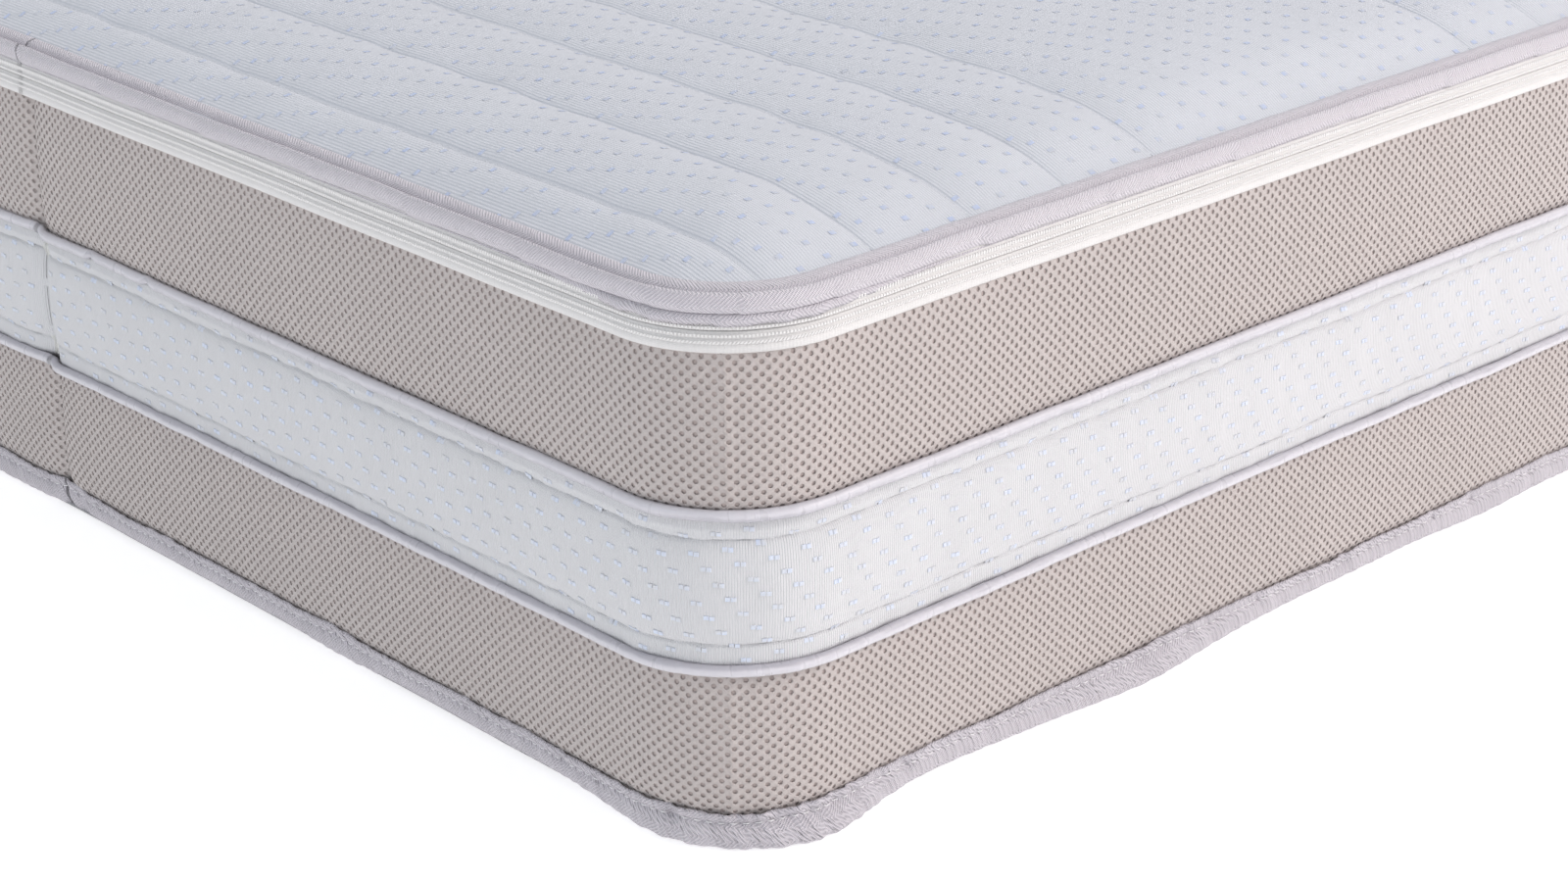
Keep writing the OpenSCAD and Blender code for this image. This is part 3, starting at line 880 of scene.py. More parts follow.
class MATTRESS_OT_middle_band(bpy.types.Operator):
    """Builds the padded knit band with its folds and raised dots"""

    bl_idname = "mattress.middle_band"
    bl_label = "Padded band"

    def execute(self, context):
        line = SideLine()
        c = colours()
        low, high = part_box("middle_band_ticking")[0][2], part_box("middle_band_ticking")[1][2]
        s = line.rings(PAD_RINGS, joined=False)
        z = low + (high - low) * self.heights()
        z[0] -= 1.5 * MM
        z[-1] += 1.5 * MM
        front = band_offset(line, s[:, None], z[None], low, high)
        back = np.minimum(front[:, [0, -1]] - 0.8 * MM, -3.4 * MM)[:, ::-1]
        o = np.concatenate([front, back], 1)
        z = np.concatenate([z, [high - 1 * MM, low + 1 * MM]]) + join_step(line, s)[:, None]
        dots = self.dots(line, low, high)
        obj = ring("middle_band_ticking_pad", line, s, o, z, joined=False, extra=dots)
        ground = knit_finish("band_knit", tuple(c.band), 0.0011, 0.0006)
        motif = motif_finish("band_motif", tuple(c.band), tuple(c.band_motif))
        settle(obj, REST_BODY, [ground, motif], ["middle_band_ticking"])
        low, high = low + 1 * MM, high - 1 * MM
        wadding = layer_ring("middle_band_wadding_layer", line, -4.9 * MM, -2.4 * MM, low, high)
        fibre = fibre_finish("wadding", (0.82, 0.81, 0.78), 0.004)
        settle(wadding, REST_BODY, [fibre], ["middle_band_wadding"])
        return {"FINISHED"}

    def dots(self, line, low, high):
        """Raised dots in pairs, in slanted rows, as points, faces and map."""
        edge, scatter = 6 * MM, 0.12 * MM
        steps = (13.2 * MM, 2.1 * MM), (4.7 * MM, -6.3 * MM)
        u, v = lattice(*steps, edge, line.length - edge, low, high)
        keep = (v > low + 1.5 * MM) & (v < high - 1.5 * MM)
        u, v = u[keep], v[keep]
        r = np.random.default_rng(5)
        u, v = u + r.normal(0, scatter, len(u)), v + r.normal(0, scatter, len(v))
        u = np.concatenate([u - 1.15 * MM, u + 1.15 * MM])
        v = np.concatenate([v, v - 0.2 * MM])
        du, dv, lift, quads = studs(u, v, 1.0 * MM, 0.95 * MM, 0.32 * MM, 0.82)
        offset = band_offset(line, du, dv, low, high) + lift + 0.05 * MM
        points = line.place(du, offset, dv + join_step(line, du))
        return points.reshape(-1, 3), quads, np.stack([du, dv], -1).reshape(-1, 2)

    def heights(self):
        """Shares of the height, closest together at the folds."""
        strip, fold, middle = (0, 0.10, 5), (0.112, 0.15, 7), (0.17, 0.83, 16)
        stretches = strip, fold, middle, (0.85, 0.888, 7), (0.90, 1.0, 8)
        return np.concatenate([np.linspace(*stretch) for stretch in stretches])


class MATTRESS_OT_pipings(bpy.types.Operator):
    """Builds both satin pipings with the cord inside them"""

    bl_idname = "mattress.pipings"
    bl_label = "Pipings"

    # where each piping kinks, in metres from the join
    KINKS = {"upper": (0.049, 0.096, 2.3, 4.1), "lower": ()}

    def execute(self, context):
        line = SideLine()
        c = colours()
        core = thread_finish("piping_core", (0.84, 0.84, 0.84))
        # turn: how far round each cord, in degrees, its painted highlight lies
        for name, seed, turn in (("upper", 51, 55), ("lower", 61, -8)):
            low, high = (np.array(p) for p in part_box(f"{name}_piping_sleeve"))
            radius = (high[2] - low[2]) / 2
            centre = high[0] - side_high[0] - radius, (high[2] + low[2]) / 2
            ground, light = tuple(c.piping), tuple(c.piping_painted_highlight)
            girth = 2 * math.pi * radius
            satin = satin_finish(f"piping_satin_{name}", ground, light, turn, girth)
            for part, stuff, share, sides, finish in (
                ("sleeve", "satin", 1.0, 14, satin),
                ("cord", "core", 0.62, 8, core),
            ):
                o, z = self.section(line, name, radius * share, sides, centre, seed)
                s = line.rings(PIPING_RINGS)
                obj = ring(f"{name}_piping_{part}_{stuff}", line, s, o, z)
                settle(obj, REST_BODY, [finish], [f"{name}_piping_{part}"])
        return {"FINISHED"}

    def section(self, line, name, radius, sides, centre, seed):
        """Round sections of a piping that wanders a little along its seam."""
        s, length = line.rings(PIPING_RINGS), line.length
        out = centre[0] + 0.3 * MM * wander(s, length, seed + 1, 0.4, 0.03, 6)
        out = out + 0.55 * join_pull(line, s)
        height = centre[1] + 0.35 * MM * wander(s, length, seed, 0.5, 0.05, 6) + join_step(line, s)
        thick = radius * (1 + 0.05 * wander(s, length, seed + 2, 0.05, 0.008, 6))
        for place in self.KINKS[name]:
            kink = line.near(s, place, 3 * MM)
            height = height + 1.3 * MM * kink
            thick = thick * (1 - 0.3 * kink)
        angle = math.pi + np.arange(sides) * 2 * math.pi / sides
        o = out[:, None] + thick[:, None] * np.cos(angle)
        return o, height[:, None] + thick[:, None] * np.sin(angle)


class MATTRESS_OT_bottom_binding(bpy.types.Operator):
    """Builds the puckered bottom binding, its lockstitching and the base cloth"""

    bl_idname = "mattress.bottom_binding"
    bl_label = "Bottom binding"

    # how far the base cloth's edge stays inside the tape
    BASE_TUCK = 3.6 * MM
    # points across the tape in mm, from the hidden underside out, up the face and down behind it
    PATH = [
        [-13.8, 0.05], [-9.0, 0.05], [-4.0, 0.1], [-1.0, 0.25], [0.6, 0.9],
        [1.6, 2.4], [2.1, 4.6], [2.1, 7.0], [1.8, 9.0], [1.3, 10.7],
        [0.6, 11.5], [0.1, 12.0], [0.5, 12.5], [1.0, 13.1], [1.3, 15.0],
        [0.9, 16.3], [-0.1, 16.2], [-1.2, 12.0], [-1.6, 4.0], [-4.0, 1.6],
        [-13.6, 1.3],
    ]
    # of those points: the sewn groove, the first that doesn't lift, and those that never spread
    GROOVE = 11
    UNLIFTED = 18
    UNSPREAD = [0, 1, 2, 16, 17, 18, 19, 20]
    # place and width along the line in metres, and drop of the lower edge in mm
    SAGS = ((0.24, 0.20, -2.6), (0.715, 0.055, 2.4), (0.60, 0.04, -0.8), (0.83, 0.05, -0.8))

    def execute(self, context):
        line = SideLine()
        c = colours()
        twill = twill_finish("bottom_twill", shade(c.binding, 0.95), shade(c.binding_shade, 0.95), 1.0)
        s = line.rings(BOTTOM_RINGS)
        o, z = self.section(line, s)
        obj = ring("bottom_binding", line, s, o, z)
        settle(obj, REST_BODY, [twill], ["bottom_edge_tape"])
        self.sewing(line)
        base = softened("base_panel", "base_cloth_panel", 0.5 * MM, 1)
        tuck = 1 - self.BASE_TUCK / side_high[:2]
        base.data.transform(Matrix.Diagonal((*tuck, 1, 1)))
        settle(base, REST_BODY, [base_finish("base_cloth", tuple(c.base))], ["base_panel"])
        return {"FINISHED"}

    def section(self, line, s):
        """Sections of the tape, lifted, spread and puckered along its length."""
        length = line.length
        rise = 1.2 * wander(s, length, 71, 0.35, 0.05, 6)
        hem = self.hem(line, s)
        lift = np.clip(0.35 * hem, 0.05, 1.3) + 0.15 + 0.1 * wander(s, length, 72, 0.1, 0.03, 4)
        flare = 2 * (lift - hem)
        pinch = 2.2 * line.near(s, 0.013, 0.006)
        path = np.array(self.PATH)
        o0, z0 = path[:, 0][None], path[:, 1][None]
        body = np.interp(path[:, 1], [0, 1.5, 5, 12.6], [0.8, 1, 0.62, 0.03])
        body[self.UNSPREAD] = 0
        slant = s[:, None] + 0.45 * z0 * MM
        fold = wander(slant, length, 74, 0.018, 0.006, 7)
        gather = 0.55 + 0.75 * line.near(s, line.first_turn + 0.02, 0.06, 4)[:, None]
        sharp = np.sign(fold) * np.abs(fold) ** 0.7 * gather
        upper = np.clip((z0 - 10) / 6, 0, 1)
        slit = np.clip(wander(slant, length, 75, 0.03, 0.011, 5) - 0.55, 0, 0.6) * gather
        slit = 3.5 * slit * np.exp(-(((z0 - 13) / 4) ** 2)) * (o0 > -1)
        out = 1.1 * sharp * (0.6 * body + 0.7 * upper) - slit
        drawn = 0.7 * join_pull(line, s) / MM - pinch
        o = o0 + flare[:, None] * body + out + drawn[:, None] * (o0 > -2)
        under = np.interp(path[:, 0], [-13.8, -9, -4, -1], [0, 0.35, 0.8, 1.0])
        under[self.UNLIFTED :] = 0
        raised = lift[:, None] * np.clip((9 - z0) / 9, 0, 1) * under
        z = z0 + rise[:, None] * np.clip(z0 / 16, 0, 1) + raised
        z = np.maximum(z + 0.4 * sharp * upper * (o0 > 0), 0.03)
        return o * MM, z * MM

    def hem(self, line, s):
        """How high the binding's lower edge stands, or below zero how far it spreads, in mm."""
        sway = 1.6 + 1.3 * wander(s, line.length, 73, 0.5, 0.08, 6)
        first = line.first_turn
        across, along = 2 * side_high[0], 2 * side_high[1]
        turn = 2 * line.radius - line.parts[1][1]
        corners = (first, first + across - turn, first + across + along - 2 * turn)
        for place in (*corners, first + 2 * across + along - 3 * turn):
            sway = sway - 5.6 * line.near(s, place + 0.014, 0.06, 2.6)
        for place, width, drop in self.SAGS:
            sway = sway - drop * line.near(s, place, width)
        return np.clip(sway, -4.5, 4.5)

    def sewing(self, line):
        """Stitches sunk in the groove under the binding's lip."""
        pitch = sizes().stitch
        count = round(line.length / pitch)
        mid = (np.arange(count) + 0.5) * line.length / count
        grid = line.rings(BOTTOM_RINGS)
        o, z = self.section(line, grid)
        across, out, up = strand(5, 0.34 * MM)
        s = mid[:, None] + across * STITCH_HALF
        groove_o = np.interp(np.mod(s, line.length), grid, o[:, self.GROOVE])
        groove_z = np.interp(np.mod(s, line.length), grid, z[:, self.GROOVE])
        sink = 0.6 * MM * (1 - across**2) - 0.1 * MM
        o, z = (groove_o + sink)[:, :, None] + out, groove_z[:, :, None] + up
        obj = stitches("bottom_binding_stitches", line, s, o, z)
        thread = thread_finish("binding_thread", (0.95, 0.93, 0.95))
        settle(obj, REST_BODY, [thread], ["bottom_edge_tape"])


def layer_ring(name, line, back, front, low, high):
    """A soft layer round the wall, thinner where the border's join draws it in."""
    s = line.rings(LAYER_RINGS, joined=False)
    z = np.linspace(low, high, 9)
    rounded = 0.6 * MM * (1 - np.clip(np.minimum(z - low, high - z) / (3 * MM), 0, 1)) ** 2
    loose = 0.2 * MM * wander(s, line.length, 19, 0.2, 0.03, 5)[:, None]
    face = np.maximum(front - rounded + loose + 0.6 * join_pull(line, s)[:, None], back + 0.8 * MM)
    rear = np.broadcast_to(back + rounded, face.shape)[:, ::-1]
    o = np.concatenate([face, rear], 1)
    z = np.broadcast_to(np.concatenate([z, z[::-1]]), o.shape)
    return ring(name, line, s, o, z, joined=False)


def strand(sides, thick):
    """Steps along a stitch from end to end, and its rounded outline at each of them."""
    across = np.linspace(-1, 1, 5)
    angle = np.arange(sides) * 2 * math.pi / sides
    size = thick * np.sqrt(np.clip(1.02 - across**2, 0.02, 1))[:, None]
    return across, size * np.cos(angle), size * np.sin(angle)


def stitches(name, line, s, o, z):
    """Short closed strands from arrays of stitch, step and side."""
    count, steps, sides = o.shape
    points = line.place(np.broadcast_to(s[:, :, None], o.shape), o, z).reshape(-1, 3)
    uv = np.stack([np.broadcast_to(s[:, :, None], o.shape), z], -1).reshape(-1, 2)
    tube = grid_faces(steps, sides, False, True)
    quads = ((np.arange(count) * steps * sides)[:, None, None] + tube).reshape(-1, 4)
    return new_mesh(name, points, [quads], uv)


class MATTRESS_OT_zip(bpy.types.Operator):
    """Builds both zip tapes with their sewn rows and teeth, and finishes the metal parts"""

    bl_idname = "mattress.zip"
    bl_label = "Zip"

    # the straight of the line on the slider's side, and the zip's height as drawn
    SLIDER_SIDE = 4
    MIDDLE = 222 * MM
    # points across each tape: out from the side face and up from the floor, in mm
    UPPER = [
        [-1.3, 222.9], [-0.55, 223.0], [-0.55, 223.5], [-0.2, 223.8], [0.1, 224.3],
        [-0.2, 224.9], [-0.5, 225.3], [-0.55, 225.9], [-0.25, 226.3], [0.0, 227.2],
        [-0.3, 228.2], [-0.8, 229.0], [-1.3, 231.5], [-1.9, 231.5], [-1.9, 222.9],
    ]
    LOWER = [
        [-1.9, 213.6], [-0.1, 213.9], [0.35, 214.4], [0.25, 216.9], [-0.15, 217.3],
        [0.05, 217.6], [0.25, 218.3], [0.0, 219.0], [-0.5, 219.4], [-0.5, 219.9],
        [-0.2, 220.3], [0.1, 220.9], [-0.2, 221.5], [-0.5, 221.8], [-0.55, 222.5],
        [-1.3, 222.6], [-1.9, 222.6],
    ]

    def execute(self, context):
        line = SideLine()
        c = colours()
        cloth = tape_finish("zip_cloth", tuple(c.zip_cloth), sizes().tooth_pitch)
        teeth = plastic_finish("zip_teeth", tuple(c.zip_teeth))
        middle = (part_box("zip_upper_coil")[0][2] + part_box("zip_lower_coil")[1][2]) / 2
        shift = middle - self.MIDDLE
        # rows of teeth: height, half height and how proud they are in mm, then their lean
        jobs = (
            ("upper", LID_BODY, self.UPPER, ((224.3, 0.62, 0.1, 0.0), (227.25, 0.95, 0.1, 0.15))),
            ("lower", REST_BODY, self.LOWER, ((220.9, 0.62, 0.1, 0.0), (218.25, 0.7, 0.2, 0.9))),
        )
        for name, body, path, rows in jobs:
            self.tape(line, name, body, np.array(path), rows, shift, [cloth, teeth])
            self.coil(line, name, body, teeth)
        metal = metal_finish("zip_metal", tuple(c.metal))
        for node in ("zip_slider", "zip_pull_tab", "zip_upper_stops", "zip_lower_stops"):
            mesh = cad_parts[node]
            for place in mesh.material_slots:
                place.link = "OBJECT"
                place.material = metal
        return {"FINISHED"}

    def tape(self, line, name, body, path, rows, shift, finishes):
        """One tape with a raised, toothed cord along it."""
        s = line.rings(ZIP_RINGS)
        o = path[:, 0] * MM + self.pressed(line, s)[:, None]
        z = path[:, 1] * MM + shift + self.sway(line, s)[:, None]
        extra = []
        base = 0
        u = self.tooth_places(line)
        for height, half, proud, lean in rows:
            du, dv, lift, quads = studs(u, np.zeros(len(u)), 0.47 * MM, half * MM, 0.55 * MM, 0.7, lean)
            out = (proud - 0.12) * MM + lift + self.pressed(line, du)
            points = line.place(du, out, height * MM + shift + self.sway(line, du) + dv)
            extra.append((points.reshape(-1, 3), quads + base, np.stack([du, dv], -1).reshape(-1, 2)))
            base += len(du) * 8
        parts = tuple(np.concatenate([e[k] for e in extra]) for k in range(3))
        obj = ring(f"zip_{name}_tape_sewn", line, s, o, z, extra=parts)
        settle(obj, body, finishes, [f"zip_{name}_tape"])

    def tooth_places(self, line):
        """Distances of the teeth round the mattress."""
        count = round(line.length / sizes().tooth_pitch)
        return (np.arange(count) + 0.5) * line.length / count

    def sway(self, line, s):
        """How far the zip wanders up and down along its seam."""
        return 0.25 * MM * wander(s, line.length, 81, 0.6, 0.09, 5)

    def pressed(self, line, s):
        """The zip lies deeper along the slider's run, so that the pull clears its rows."""
        depth, rise = 0.98 * MM, 20 * MM
        start = sum(part[1] for part in line.parts[: self.SLIDER_SIDE])
        run = np.mod(s, line.length) - start
        left = line.parts[self.SLIDER_SIDE][1] - run
        return -depth * smooth_step(np.minimum(run, left), 0, rise)

    def coil(self, line, name, body, finish):
        """The coil's loops behind the tape."""
        low, high = (np.array(p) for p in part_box(f"zip_{name}_coil"))
        depth = high[0] - side_high[0]
        u = self.tooth_places(line)
        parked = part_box("zip_slider")
        start, end = parked[0][1] - 4 * MM, parked[1][1] + 24 * MM
        place, _ = line.at(u)
        gap = (place[:, 0] > side_high[0] - 1 * MM) & (place[:, 1] > start) & (place[:, 1] < end)
        u = u[~gap]
        mid, half = (low[2] + high[2]) / 2, (high[2] - low[2]) / 2
        du, dv, lift, quads = studs(u, np.full(len(u), mid), 0.55 * MM, half, -2.4 * MM, 0.7)
        points = line.place(du, depth + lift, dv).reshape(-1, 3)
        uv = np.stack([du, dv], -1).reshape(-1, 2)
        obj = new_mesh(f"zip_{name}_coil_loops", points, [quads[:, ::-1]], uv)
        settle(obj, body, [finish], [f"zip_{name}_coil"])


class MATTRESS_OT_top_panel(bpy.types.Operator):
    """Builds the quilted top panel with its dots, quilting stitches and backing"""

    bl_idname = "mattress.top_panel"
    bl_label = "Quilted top panel"

    # how far the panel's rim lies inside the side faces
    INSET = 3.6 * MM

    def execute(self, context):
        c = colours()
        edge_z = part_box("top_edge_tape")[1][2]
        back_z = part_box("top_backing")[1][2]
        finish = knit_finish("panel_knit", tuple(c.panel), 0.0015, 0.0009)
        obj = self.pad(edge_z, back_z)
        settle(obj, LID_BODY, [finish], ["top_ticking", "top_wadding"])
        self.motif()
        self.thread()
        backing = softened("top_backing", "top_backing_fleece", 0.3 * MM, 1)
        fleece = fibre_finish("backing_fleece", tuple(c.fleece), 0.003)
        settle(backing, LID_BODY, [fleece], ["top_backing"])
        return {"FINISHED"}

    def columns(self):
        """Places across the panel, closest together at the quilting rows."""
        rim = side_high[0] - self.INSET
        marks = [-rim, *quilt_places(), rim]
        out = []
        for left, right in zip(marks[:-1], marks[1:]):
            width = right - left
            steps = max(3, round(width / (6.5 * MM)))
            inner = np.arange(1, steps) / steps
            inner = inner[(inner > 0.07) & (inner < 0.93)]
            near = np.array([0.0, 0.7, 1.6, 3.0]) * MM / width
            shares = np.unique(np.concatenate([near, inner, 1 - near[1:]]))
            out += [left + width * t for t in shares]
        return np.array([*out, rim])

    def pad(self, edge_z, back_z):
        """The closed quilted form over its flat back."""
        x = self.columns()
        rim_y = side_high[1] - self.INSET
        y = np.linspace(-rim_y, rim_y, 331)
        gx, gy = np.meshgrid(x, y, indexing="ij")
        r = sizes().corner_radius - self.INSET
        cx, cy = x[-1] - r, rim_y - r
        qx, qy = np.abs(gx) - cx, np.abs(gy) - cy
        out = (qx > 0) & (qy > 0) & (np.hypot(qx, qy) > r)
        scale = np.where(out, r / np.maximum(np.hypot(qx, qy), 1e-9), 1.0)
        px = np.where(out, np.sign(gx) * (cx + qx * scale), gx)
        py = np.where(out, np.sign(gy) * (cy + qy * scale), gy)
        height = panel_height(px, py, edge_z - 1.2 * MM)
        self.facets = x, y, height
        top = np.stack([px, py, height], -1).reshape(-1, 3)
        quads = grid_faces(*gx.shape)
        dead = out.ravel()[quads].all(1)
        quads = quads[~dead]
        edges = np.concatenate([quads[:, [k, (k + 1) % 4]] for k in range(4)])
        key = np.sort(edges, 1) @ np.array([len(top) + 1, 1])
        _, first, counts = np.unique(key, return_index=True, return_counts=True)
        border = edges[first[counts == 1]]
        nearby = dict(border.tolist())
        loop = [int(border[0, 0])]
        while len(loop) < len(border):
            loop.append(nearby[loop[-1]])
        loop = np.array(loop)
        base = len(top)
        wall = top[loop] * [1, 1, 0] + [0, 0, back_z]
        n = len(loop)
        follow = np.roll(np.arange(n), -1)
        sides = np.stack([loop, base + np.arange(n), base + follow, loop[follow]], -1)
        points = np.concatenate([top, wall, [[0, 0, back_z]]])
        fan = np.stack([base + np.arange(n), np.full(n, base + n), base + follow], -1)
        faces = [quads, sides, fan]
        kept = np.unique(np.concatenate([f.ravel() for f in faces]))
        renumber = np.full(len(points), -1)
        renumber[kept] = np.arange(len(kept))
        points = points[kept]
        return new_mesh("top_panel_quilted", points, [renumber[f] for f in faces], points[:, :2])

    def lie(self, u, v):
        """Height of the built panel's own facets."""
        x, y, height = self.facets
        i = np.clip(np.searchsorted(x, u) - 1, 0, len(x) - 2)
        j = np.clip(np.searchsorted(y, v) - 1, 0, len(y) - 2)
        a, b = (u - x[i]) / (x[i + 1] - x[i]), (v - y[j]) / (y[j + 1] - y[j])
        low = height[i, j] * (1 - a) + height[i + 1, j] * a
        high = height[i, j + 1] * (1 - a) + height[i + 1, j + 1] * a
        return low * (1 - b) + high * b

    def motif(self):
        """Dots of the knit, laid on the quilted face."""
        hw, hl = side_high[0], side_high[1]
        u, v = lattice((3.7 * MM, -8.1 * MM), (12.0 * MM, 9.7 * MM), -hw, hw, -hl, hl)
        row = np.abs(u[:, None] - np.array(quilt_places())).min(1)
        keep = (inside_edge(u, v) > 9 * MM) & (row > 2.6 * MM)
        u, v = u[keep], v[keep]
        du, dv, lift, quads = studs(u, v, 1.6 * MM, 1.1 * MM, 0.1 * MM, 0.75)
        z = self.lie(du, dv) + lift + 0.14 * MM
        points = np.stack([du, dv, z], -1).reshape(-1, 3)
        obj = new_mesh("top_panel_motif", points, [quads], points[:, :2], flat=np.arange(len(quads)))
        c = colours()
        finish = motif_finish("panel_motif", tuple(c.panel), tuple(c.panel_motif))
        settle(obj, LID_BODY, [finish], ["top_ticking"])

    def thread(self):
        """Lockstitches along the quilting rows."""
        step = 4.6 * MM
        points, quads, base = [], [], 0
        across, out, up = strand(4, 0.3 * MM)
        tube = grid_faces(*out.shape, False, True)
        for x in quilt_places():
            reach = side_high[1] - 12 * MM
            mid = np.arange(-reach, reach, step)
            mid = mid[inside_edge(np.full_like(mid, x), mid) > 11 * MM]
            y = mid[:, None] + across * STITCH_HALF
            h = self.lie(np.full_like(y, x), y) + 0.2 * MM * (1 - across**2) - 0.1 * MM
            pz = h[:, :, None] + up
            px = np.broadcast_to(x + out, pz.shape)
            py = np.broadcast_to(y[:, :, None], pz.shape)
            points.append(np.stack([px, py, pz], -1).reshape(-1, 3))
            quads.append(((np.arange(len(mid)) * out.size)[:, None, None] + tube).reshape(-1, 4) + base)
            base += pz.size
        points = np.concatenate(points)
        obj = new_mesh("top_quilting_stitches", points, [np.concatenate(quads)[:, ::-1]], points[:, :2])
        finish = thread_finish("quilting_thread", tuple(colours().thread))
        settle(obj, LID_BODY, [finish], ["top_quilting_thread"])


class MATTRESS_OT_edge_binding(bpy.types.Operator):
    """Builds the rolled twill binding round the top panel"""

    bl_idname = "mattress.edge_binding"
    bl_label = "Edge binding"

    # points across the binding in mm: out from the side face and up from the roll's middle
    ROLL = [
        [-1.9, -3.9], [-0.6, -4.4], [0.6, -3.7], [1.25, -2.2], [1.55, -0.5],
        [1.5, 1.1], [1.15, 2.5], [0.5, 3.7], [-0.4, 4.3], [-1.2, 4.0],
        [-1.9, 2.9], [-2.3, 1.4], [-2.6, -0.2],
    ]
    # the flat leg on the panel, in toward its middle
    LEG = [[-3.4, 0.3], [-4.1, 2.3], [-5.1, 3.9], [-7.2, 4.9], [-9.4, 5.1], [-10.6, 4.4]]
    # the way back under the leg and the roll
    INNER = [
        [-9.5, 2.6], [-4.6, -0.4], [-3.4, -1.4], [-2.6, -2.4], [-1.6, -3.6],
        [-1.2, -4.8], [-0.7, -5.2], [-0.7, -5.0], [-1.0, -4.6], [-1.9, -4.0],
    ]
    # how far each of those points hangs at the first corner
    SKIRT = [[0, 0]] * 5 + [[1.4, -3.4], [1.8, -3.8], [1.9, -2.2], [1.6, -0.3], [0, 0]]

    def execute(self, context):
        line = SideLine()
        c = colours()
        high = np.array(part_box("top_edge_tape")[1])
        centre_z = high[2] - 4.4 * MM
        s, length = line.rings(EDGE_RINGS), line.length
        roll = np.array(self.ROLL)
        share = np.linspace(0, 1, len(roll))
        folds = round(length / sizes().fold_pitch)
        phase = (s[:, None] + 9 * MM * share) * folds / length
        turn = np.mod(phase + 0.09 * wander(s, length, 91, 0.9, 0.2, 4)[:, None], 1)
        saw = np.where(turn < 0.04, turn / 0.04, (1 - turn) / 0.96)
        lap = np.mod(s - line.first_turn - 6 * MM, length)
        loose = 0.25 * wander(s, length, 92, 0.08, 0.012, 7) + 0.9 * np.exp(-lap / 0.03)
        grow = 1.1 * (saw - 0.5) + loose[:, None]
        middle = roll.mean(0)
        away = (roll - middle) / np.linalg.norm(roll - middle, axis=1, keepdims=True)
        weight = np.clip(away @ [0.8, -0.6], 0, 1)
        lift = 0.5 * MM * wander(s, length, 93, 0.5, 0.06, 6)[:, None]
        roll_o = (roll[:, 0] + grow * weight * away[:, 0]) * MM
        roll_z = centre_z + (roll[:, 1] + grow * weight * away[:, 1]) * MM + lift
        leg = np.array(self.LEG)
        wave = 0.4 * MM * wander(s, length, 94, 0.06, 0.008, 7)[:, None]
        leg_o = leg[:, 0] * MM + wave * np.array([0, 0.2, 0.4, 0.6, 1, 1.5])
        leg_z = centre_z + leg[:, 1] * MM + lift * 0.5 + wave * np.array([0, 0, 0.2, 0.3, 0.3, 0.2])
        inner = np.array(self.INNER)
        skirt = np.array(self.SKIRT)
        hang = line.near(s, line.first_turn, 0.085, 3)
        hang = hang * (1 + 0.12 * wander(s, length, 95, 0.03, 0.012, 4))
        fold = 1 + 0.16 * wander(s, length, 96, 0.014, 0.006, 5)
        in_o = (inner[:, 0] + (hang * fold)[:, None] * skirt[:, 0]) * MM
        in_z = centre_z + (inner[:, 1] + hang[:, None] * skirt[:, 1]) * MM
        o = np.concatenate([roll_o, leg_o, in_o], 1)
        z = np.concatenate([roll_z, leg_z, in_z], 1)
        obj = ring("top_edge_binding", line, s, o, z)
        twill = twill_finish("edge_twill", shade(c.binding, 0.96), shade(c.binding_shade, 0.96), 0.25)
        settle(obj, LID_BODY, [twill], ["top_edge_tape"])
        return {"FINISHED"}


class MATTRESS_OT_core(bpy.types.Operator):
    """Builds the felt, liner and foam layers inside the cover"""

    bl_idname = "mattress.core"
    bl_label = "Foam core"

    def execute(self, context):
        c = colours()
        line = SideLine()
        low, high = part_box("side_felt")
        felt = layer_ring("side_felt_wall", line, -9 * MM, -5.1 * MM, low[2], high[2])
        fibre = fibre_finish("felt", tuple(c.felt), 0.005)
        settle(felt, REST_BODY, [fibre], ["side_felt"])
        liner = softened("inner_liner", "inner_liner_knit", 0.45 * MM, 1)
        jersey = jersey_finish("liner_knit", tuple(c.liner))
        settle(liner, REST_BODY, [jersey], ["inner_liner"])
        firm = "base_foam", "side_bolster_left", "side_bolster_right", "foot_bolster", "head_bolster"
        foams = (
            ("memory_foam", c.comfort, 0.0012, 3.0, 2, ("comfort_layer",)),
            ("relief_foam", c.relief, 0.0022, 1.2, 1, ("relief_layer",)),
            ("support_foam", c.support, 0.0020, 2.5, 2, ("support_core",)),
            ("firm_foam", c.firm, 0.0018, 2.5, 2, firm),
        )
        for slot, colour, pore, radius, cuts, nodes in foams:
            foam = foam_finish(slot, tuple(colour), pore)
            for node in nodes:
                piece = softened(node, f"{node}_foam", radius * MM, cuts)
                settle(piece, REST_BODY, [foam], [node])
        return {"FINISHED"}


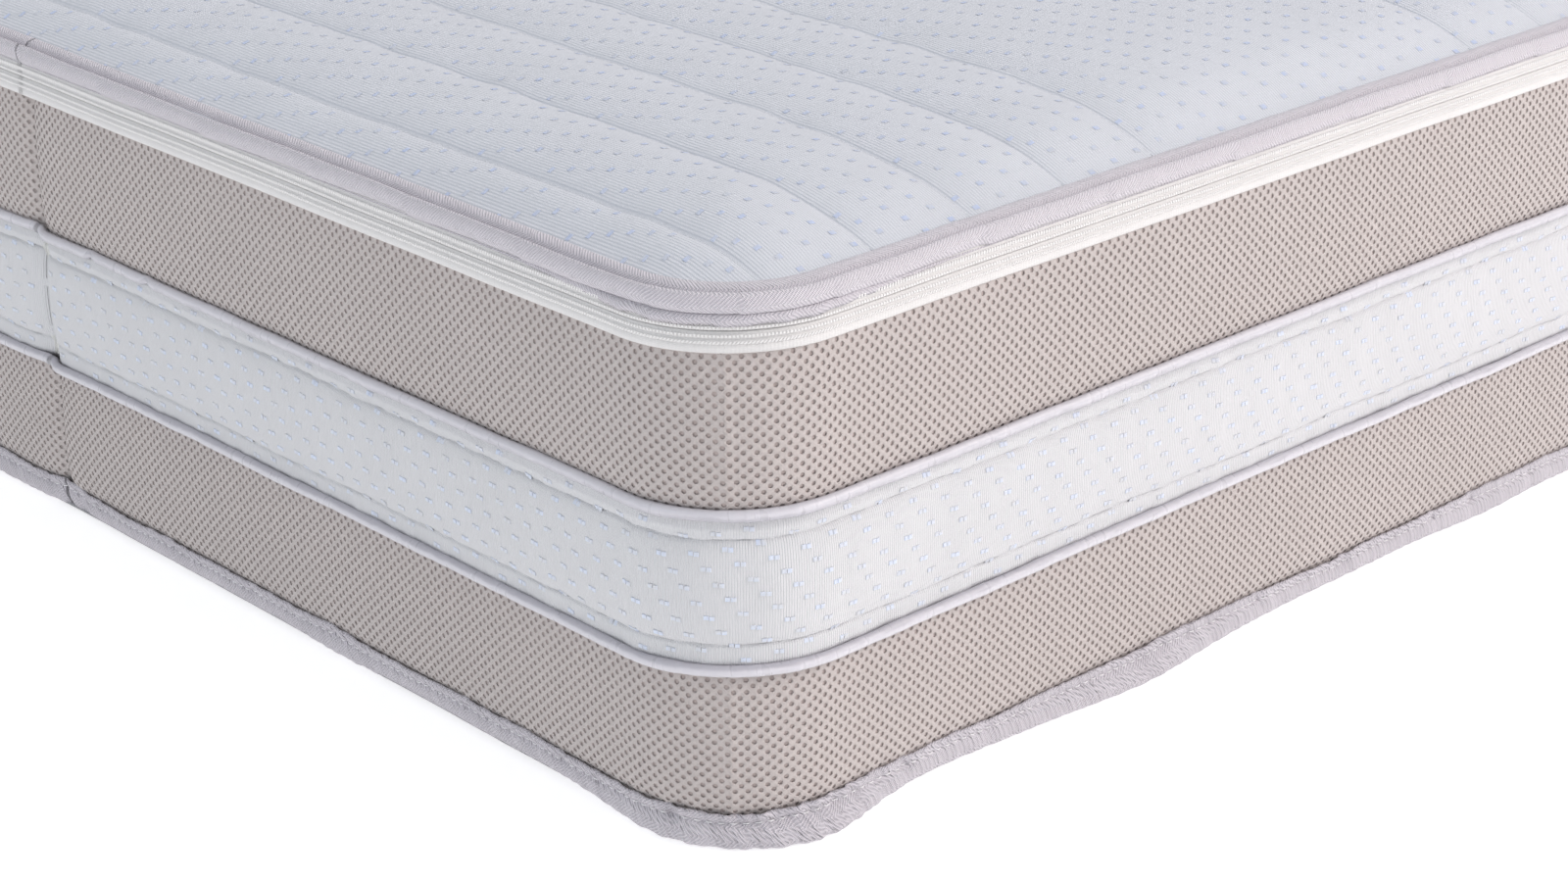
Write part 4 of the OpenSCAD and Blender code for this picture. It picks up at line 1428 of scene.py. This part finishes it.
class MATTRESS_OT_stage(bpy.types.Operator):
    """Sets up the pale floor, the soft studio light and the camera"""

    bl_idname = "mattress.stage"
    bl_label = "Studio"

    def execute(self, context):
        scene = context.scene
        scene.view_settings.view_transform = "Standard"
        self.floor()
        self.world(scene)
        self.lamps(scene)
        self.camera(scene)
        return {"FINISHED"}

    def floor(self):
        """A wide pale floor that stays out of the model."""
        half = 30.0
        points = [[x, y, -0.0002] for x, y in ((-half, -half), (half, -half), (half, half), (-half, half))]
        floor = new_mesh("floor", np.array(points), [np.array([[0, 1, 2, 3]])], np.array(points)[:, :2])
        f = Finish("floor_paper", (0.93, 0.93, 0.93), 0.9, specular=0.1)
        f.shader.inputs["Emission Color"].default_value = (1, 1, 1, 1)
        f.shader.inputs["Emission Strength"].default_value = 0.55
        grain = f.noise(f.place(), 40, 2)
        f.colour(f.blend(grain, (0.76, 0.76, 0.76), (0.78, 0.78, 0.78)))
        floor.data.materials.append(f.relief((grain, 0.0002)))

    def world(self, scene):
        """Even light from all round."""
        world = bpy.data.worlds.new("studio")
        world.use_nodes = True
        back = world.node_tree.nodes["Background"]
        back.inputs["Color"].default_value = (0.96, 0.975, 1.0, 1)
        back.inputs["Strength"].default_value = 0.52
        scene.world = world

    def lamps(self, scene):
        """A large soft key lamp, a cool fill and a lamp overhead."""
        jobs = (
            ("key", (1.6, -3.4, 2.2), (0.0, -0.9, 0.12), 2.4, 98, (1.0, 0.94, 0.92)),
            ("fill", (-3.4, -0.6, 2.0), (-0.3, -0.6, 0.12), 2.6, 21, (0.77, 0.90, 1.0)),
            ("sky", (0.2, 0.4, 3.6), (0.0, 0.0, 0.2), 3.6, 32, (0.97, 0.98, 1.0)),
        )
        for name, where, aim, width, power, colour in jobs:
            lamp = bpy.data.lights.new(name, "AREA")
            lamp.shape, lamp.size, lamp.size_y = "RECTANGLE", width, width
            lamp.energy, lamp.color = power, colour
            obj = bpy.data.objects.new(name, lamp)
            scene.collection.objects.link(obj)
            way = Vector(aim) - Vector(where)
            obj.matrix_world = Matrix.LocRotScale(Vector(where), way.to_track_quat("-Z", "Y"), None)

    def camera(self, scene):
        """A standing view over the foot corner of the left side."""
        corner = Vector((side_low[0], side_low[1], 0))
        where = corner + Vector((-0.7758, -0.8753, 0.6904))
        ahead = Vector((0.62331, 0.67510, -0.39464)).normalized()
        level = Vector((0.73473, -0.67837, 0)).normalized()
        up = level.cross(ahead)
        tilt = math.radians(-0.556)
        right = level * math.cos(tilt) + up * math.sin(tilt)
        upright = -level * math.sin(tilt) + up * math.cos(tilt)
        data = bpy.data.cameras.new("camera")
        data.lens, data.sensor_width = 77.844, 36
        data.clip_start, data.clip_end = 0.05, 50
        camera = bpy.data.objects.new("camera", data)
        scene.collection.objects.link(camera)
        turn = Matrix((right, upright, -ahead)).transposed().to_4x4()
        camera.matrix_world = Matrix.Translation(where) @ turn
        scene.camera = camera


# ---------------------------------------------------------------- panel and registration

PIECES = (
    MATTRESS_OT_stage,
    MATTRESS_OT_mesh_bands,
    MATTRESS_OT_middle_band,
    MATTRESS_OT_pipings,
    MATTRESS_OT_bottom_binding,
    MATTRESS_OT_zip,
    MATTRESS_OT_top_panel,
    MATTRESS_OT_edge_binding,
    MATTRESS_OT_core,
)


class MATTRESS_PT_pieces(bpy.types.Panel):
    """Lists the mattress's pieces and their sizes"""

    bl_idname = "MATTRESS_PT_pieces"
    bl_label = "Pressure relief mattress"
    bl_space_type = "VIEW_3D"
    bl_region_type = "UI"
    bl_category = "Mattress"

    def draw(self, context):
        for piece in PIECES:
            self.layout.operator(piece.bl_idname)
        for group in (context.scene.cover_sizes, context.scene.cover_colours):
            box = self.layout.box()
            for name in group.bl_rna.properties.keys():
                if name not in ("rna_type", "name"):
                    box.prop(group, name)


CLASSES = (CoverSizes, CoverColours, *PIECES, MATTRESS_PT_pieces)


def register():
    for cls in CLASSES:
        bpy.utils.register_class(cls)
    bpy.types.Scene.cover_sizes = PointerProperty(type=CoverSizes)
    bpy.types.Scene.cover_colours = PointerProperty(type=CoverColours)


def unregister():
    del bpy.types.Scene.cover_colours
    del bpy.types.Scene.cover_sizes
    for cls in reversed(CLASSES):
        bpy.utils.unregister_class(cls)


def main():
    """Builds every piece in order."""
    register()
    for piece in PIECES:
        group, name = piece.bl_idname.split(".")
        getattr(getattr(bpy.ops, group), name)()


if __name__ == "__main__":
    main()
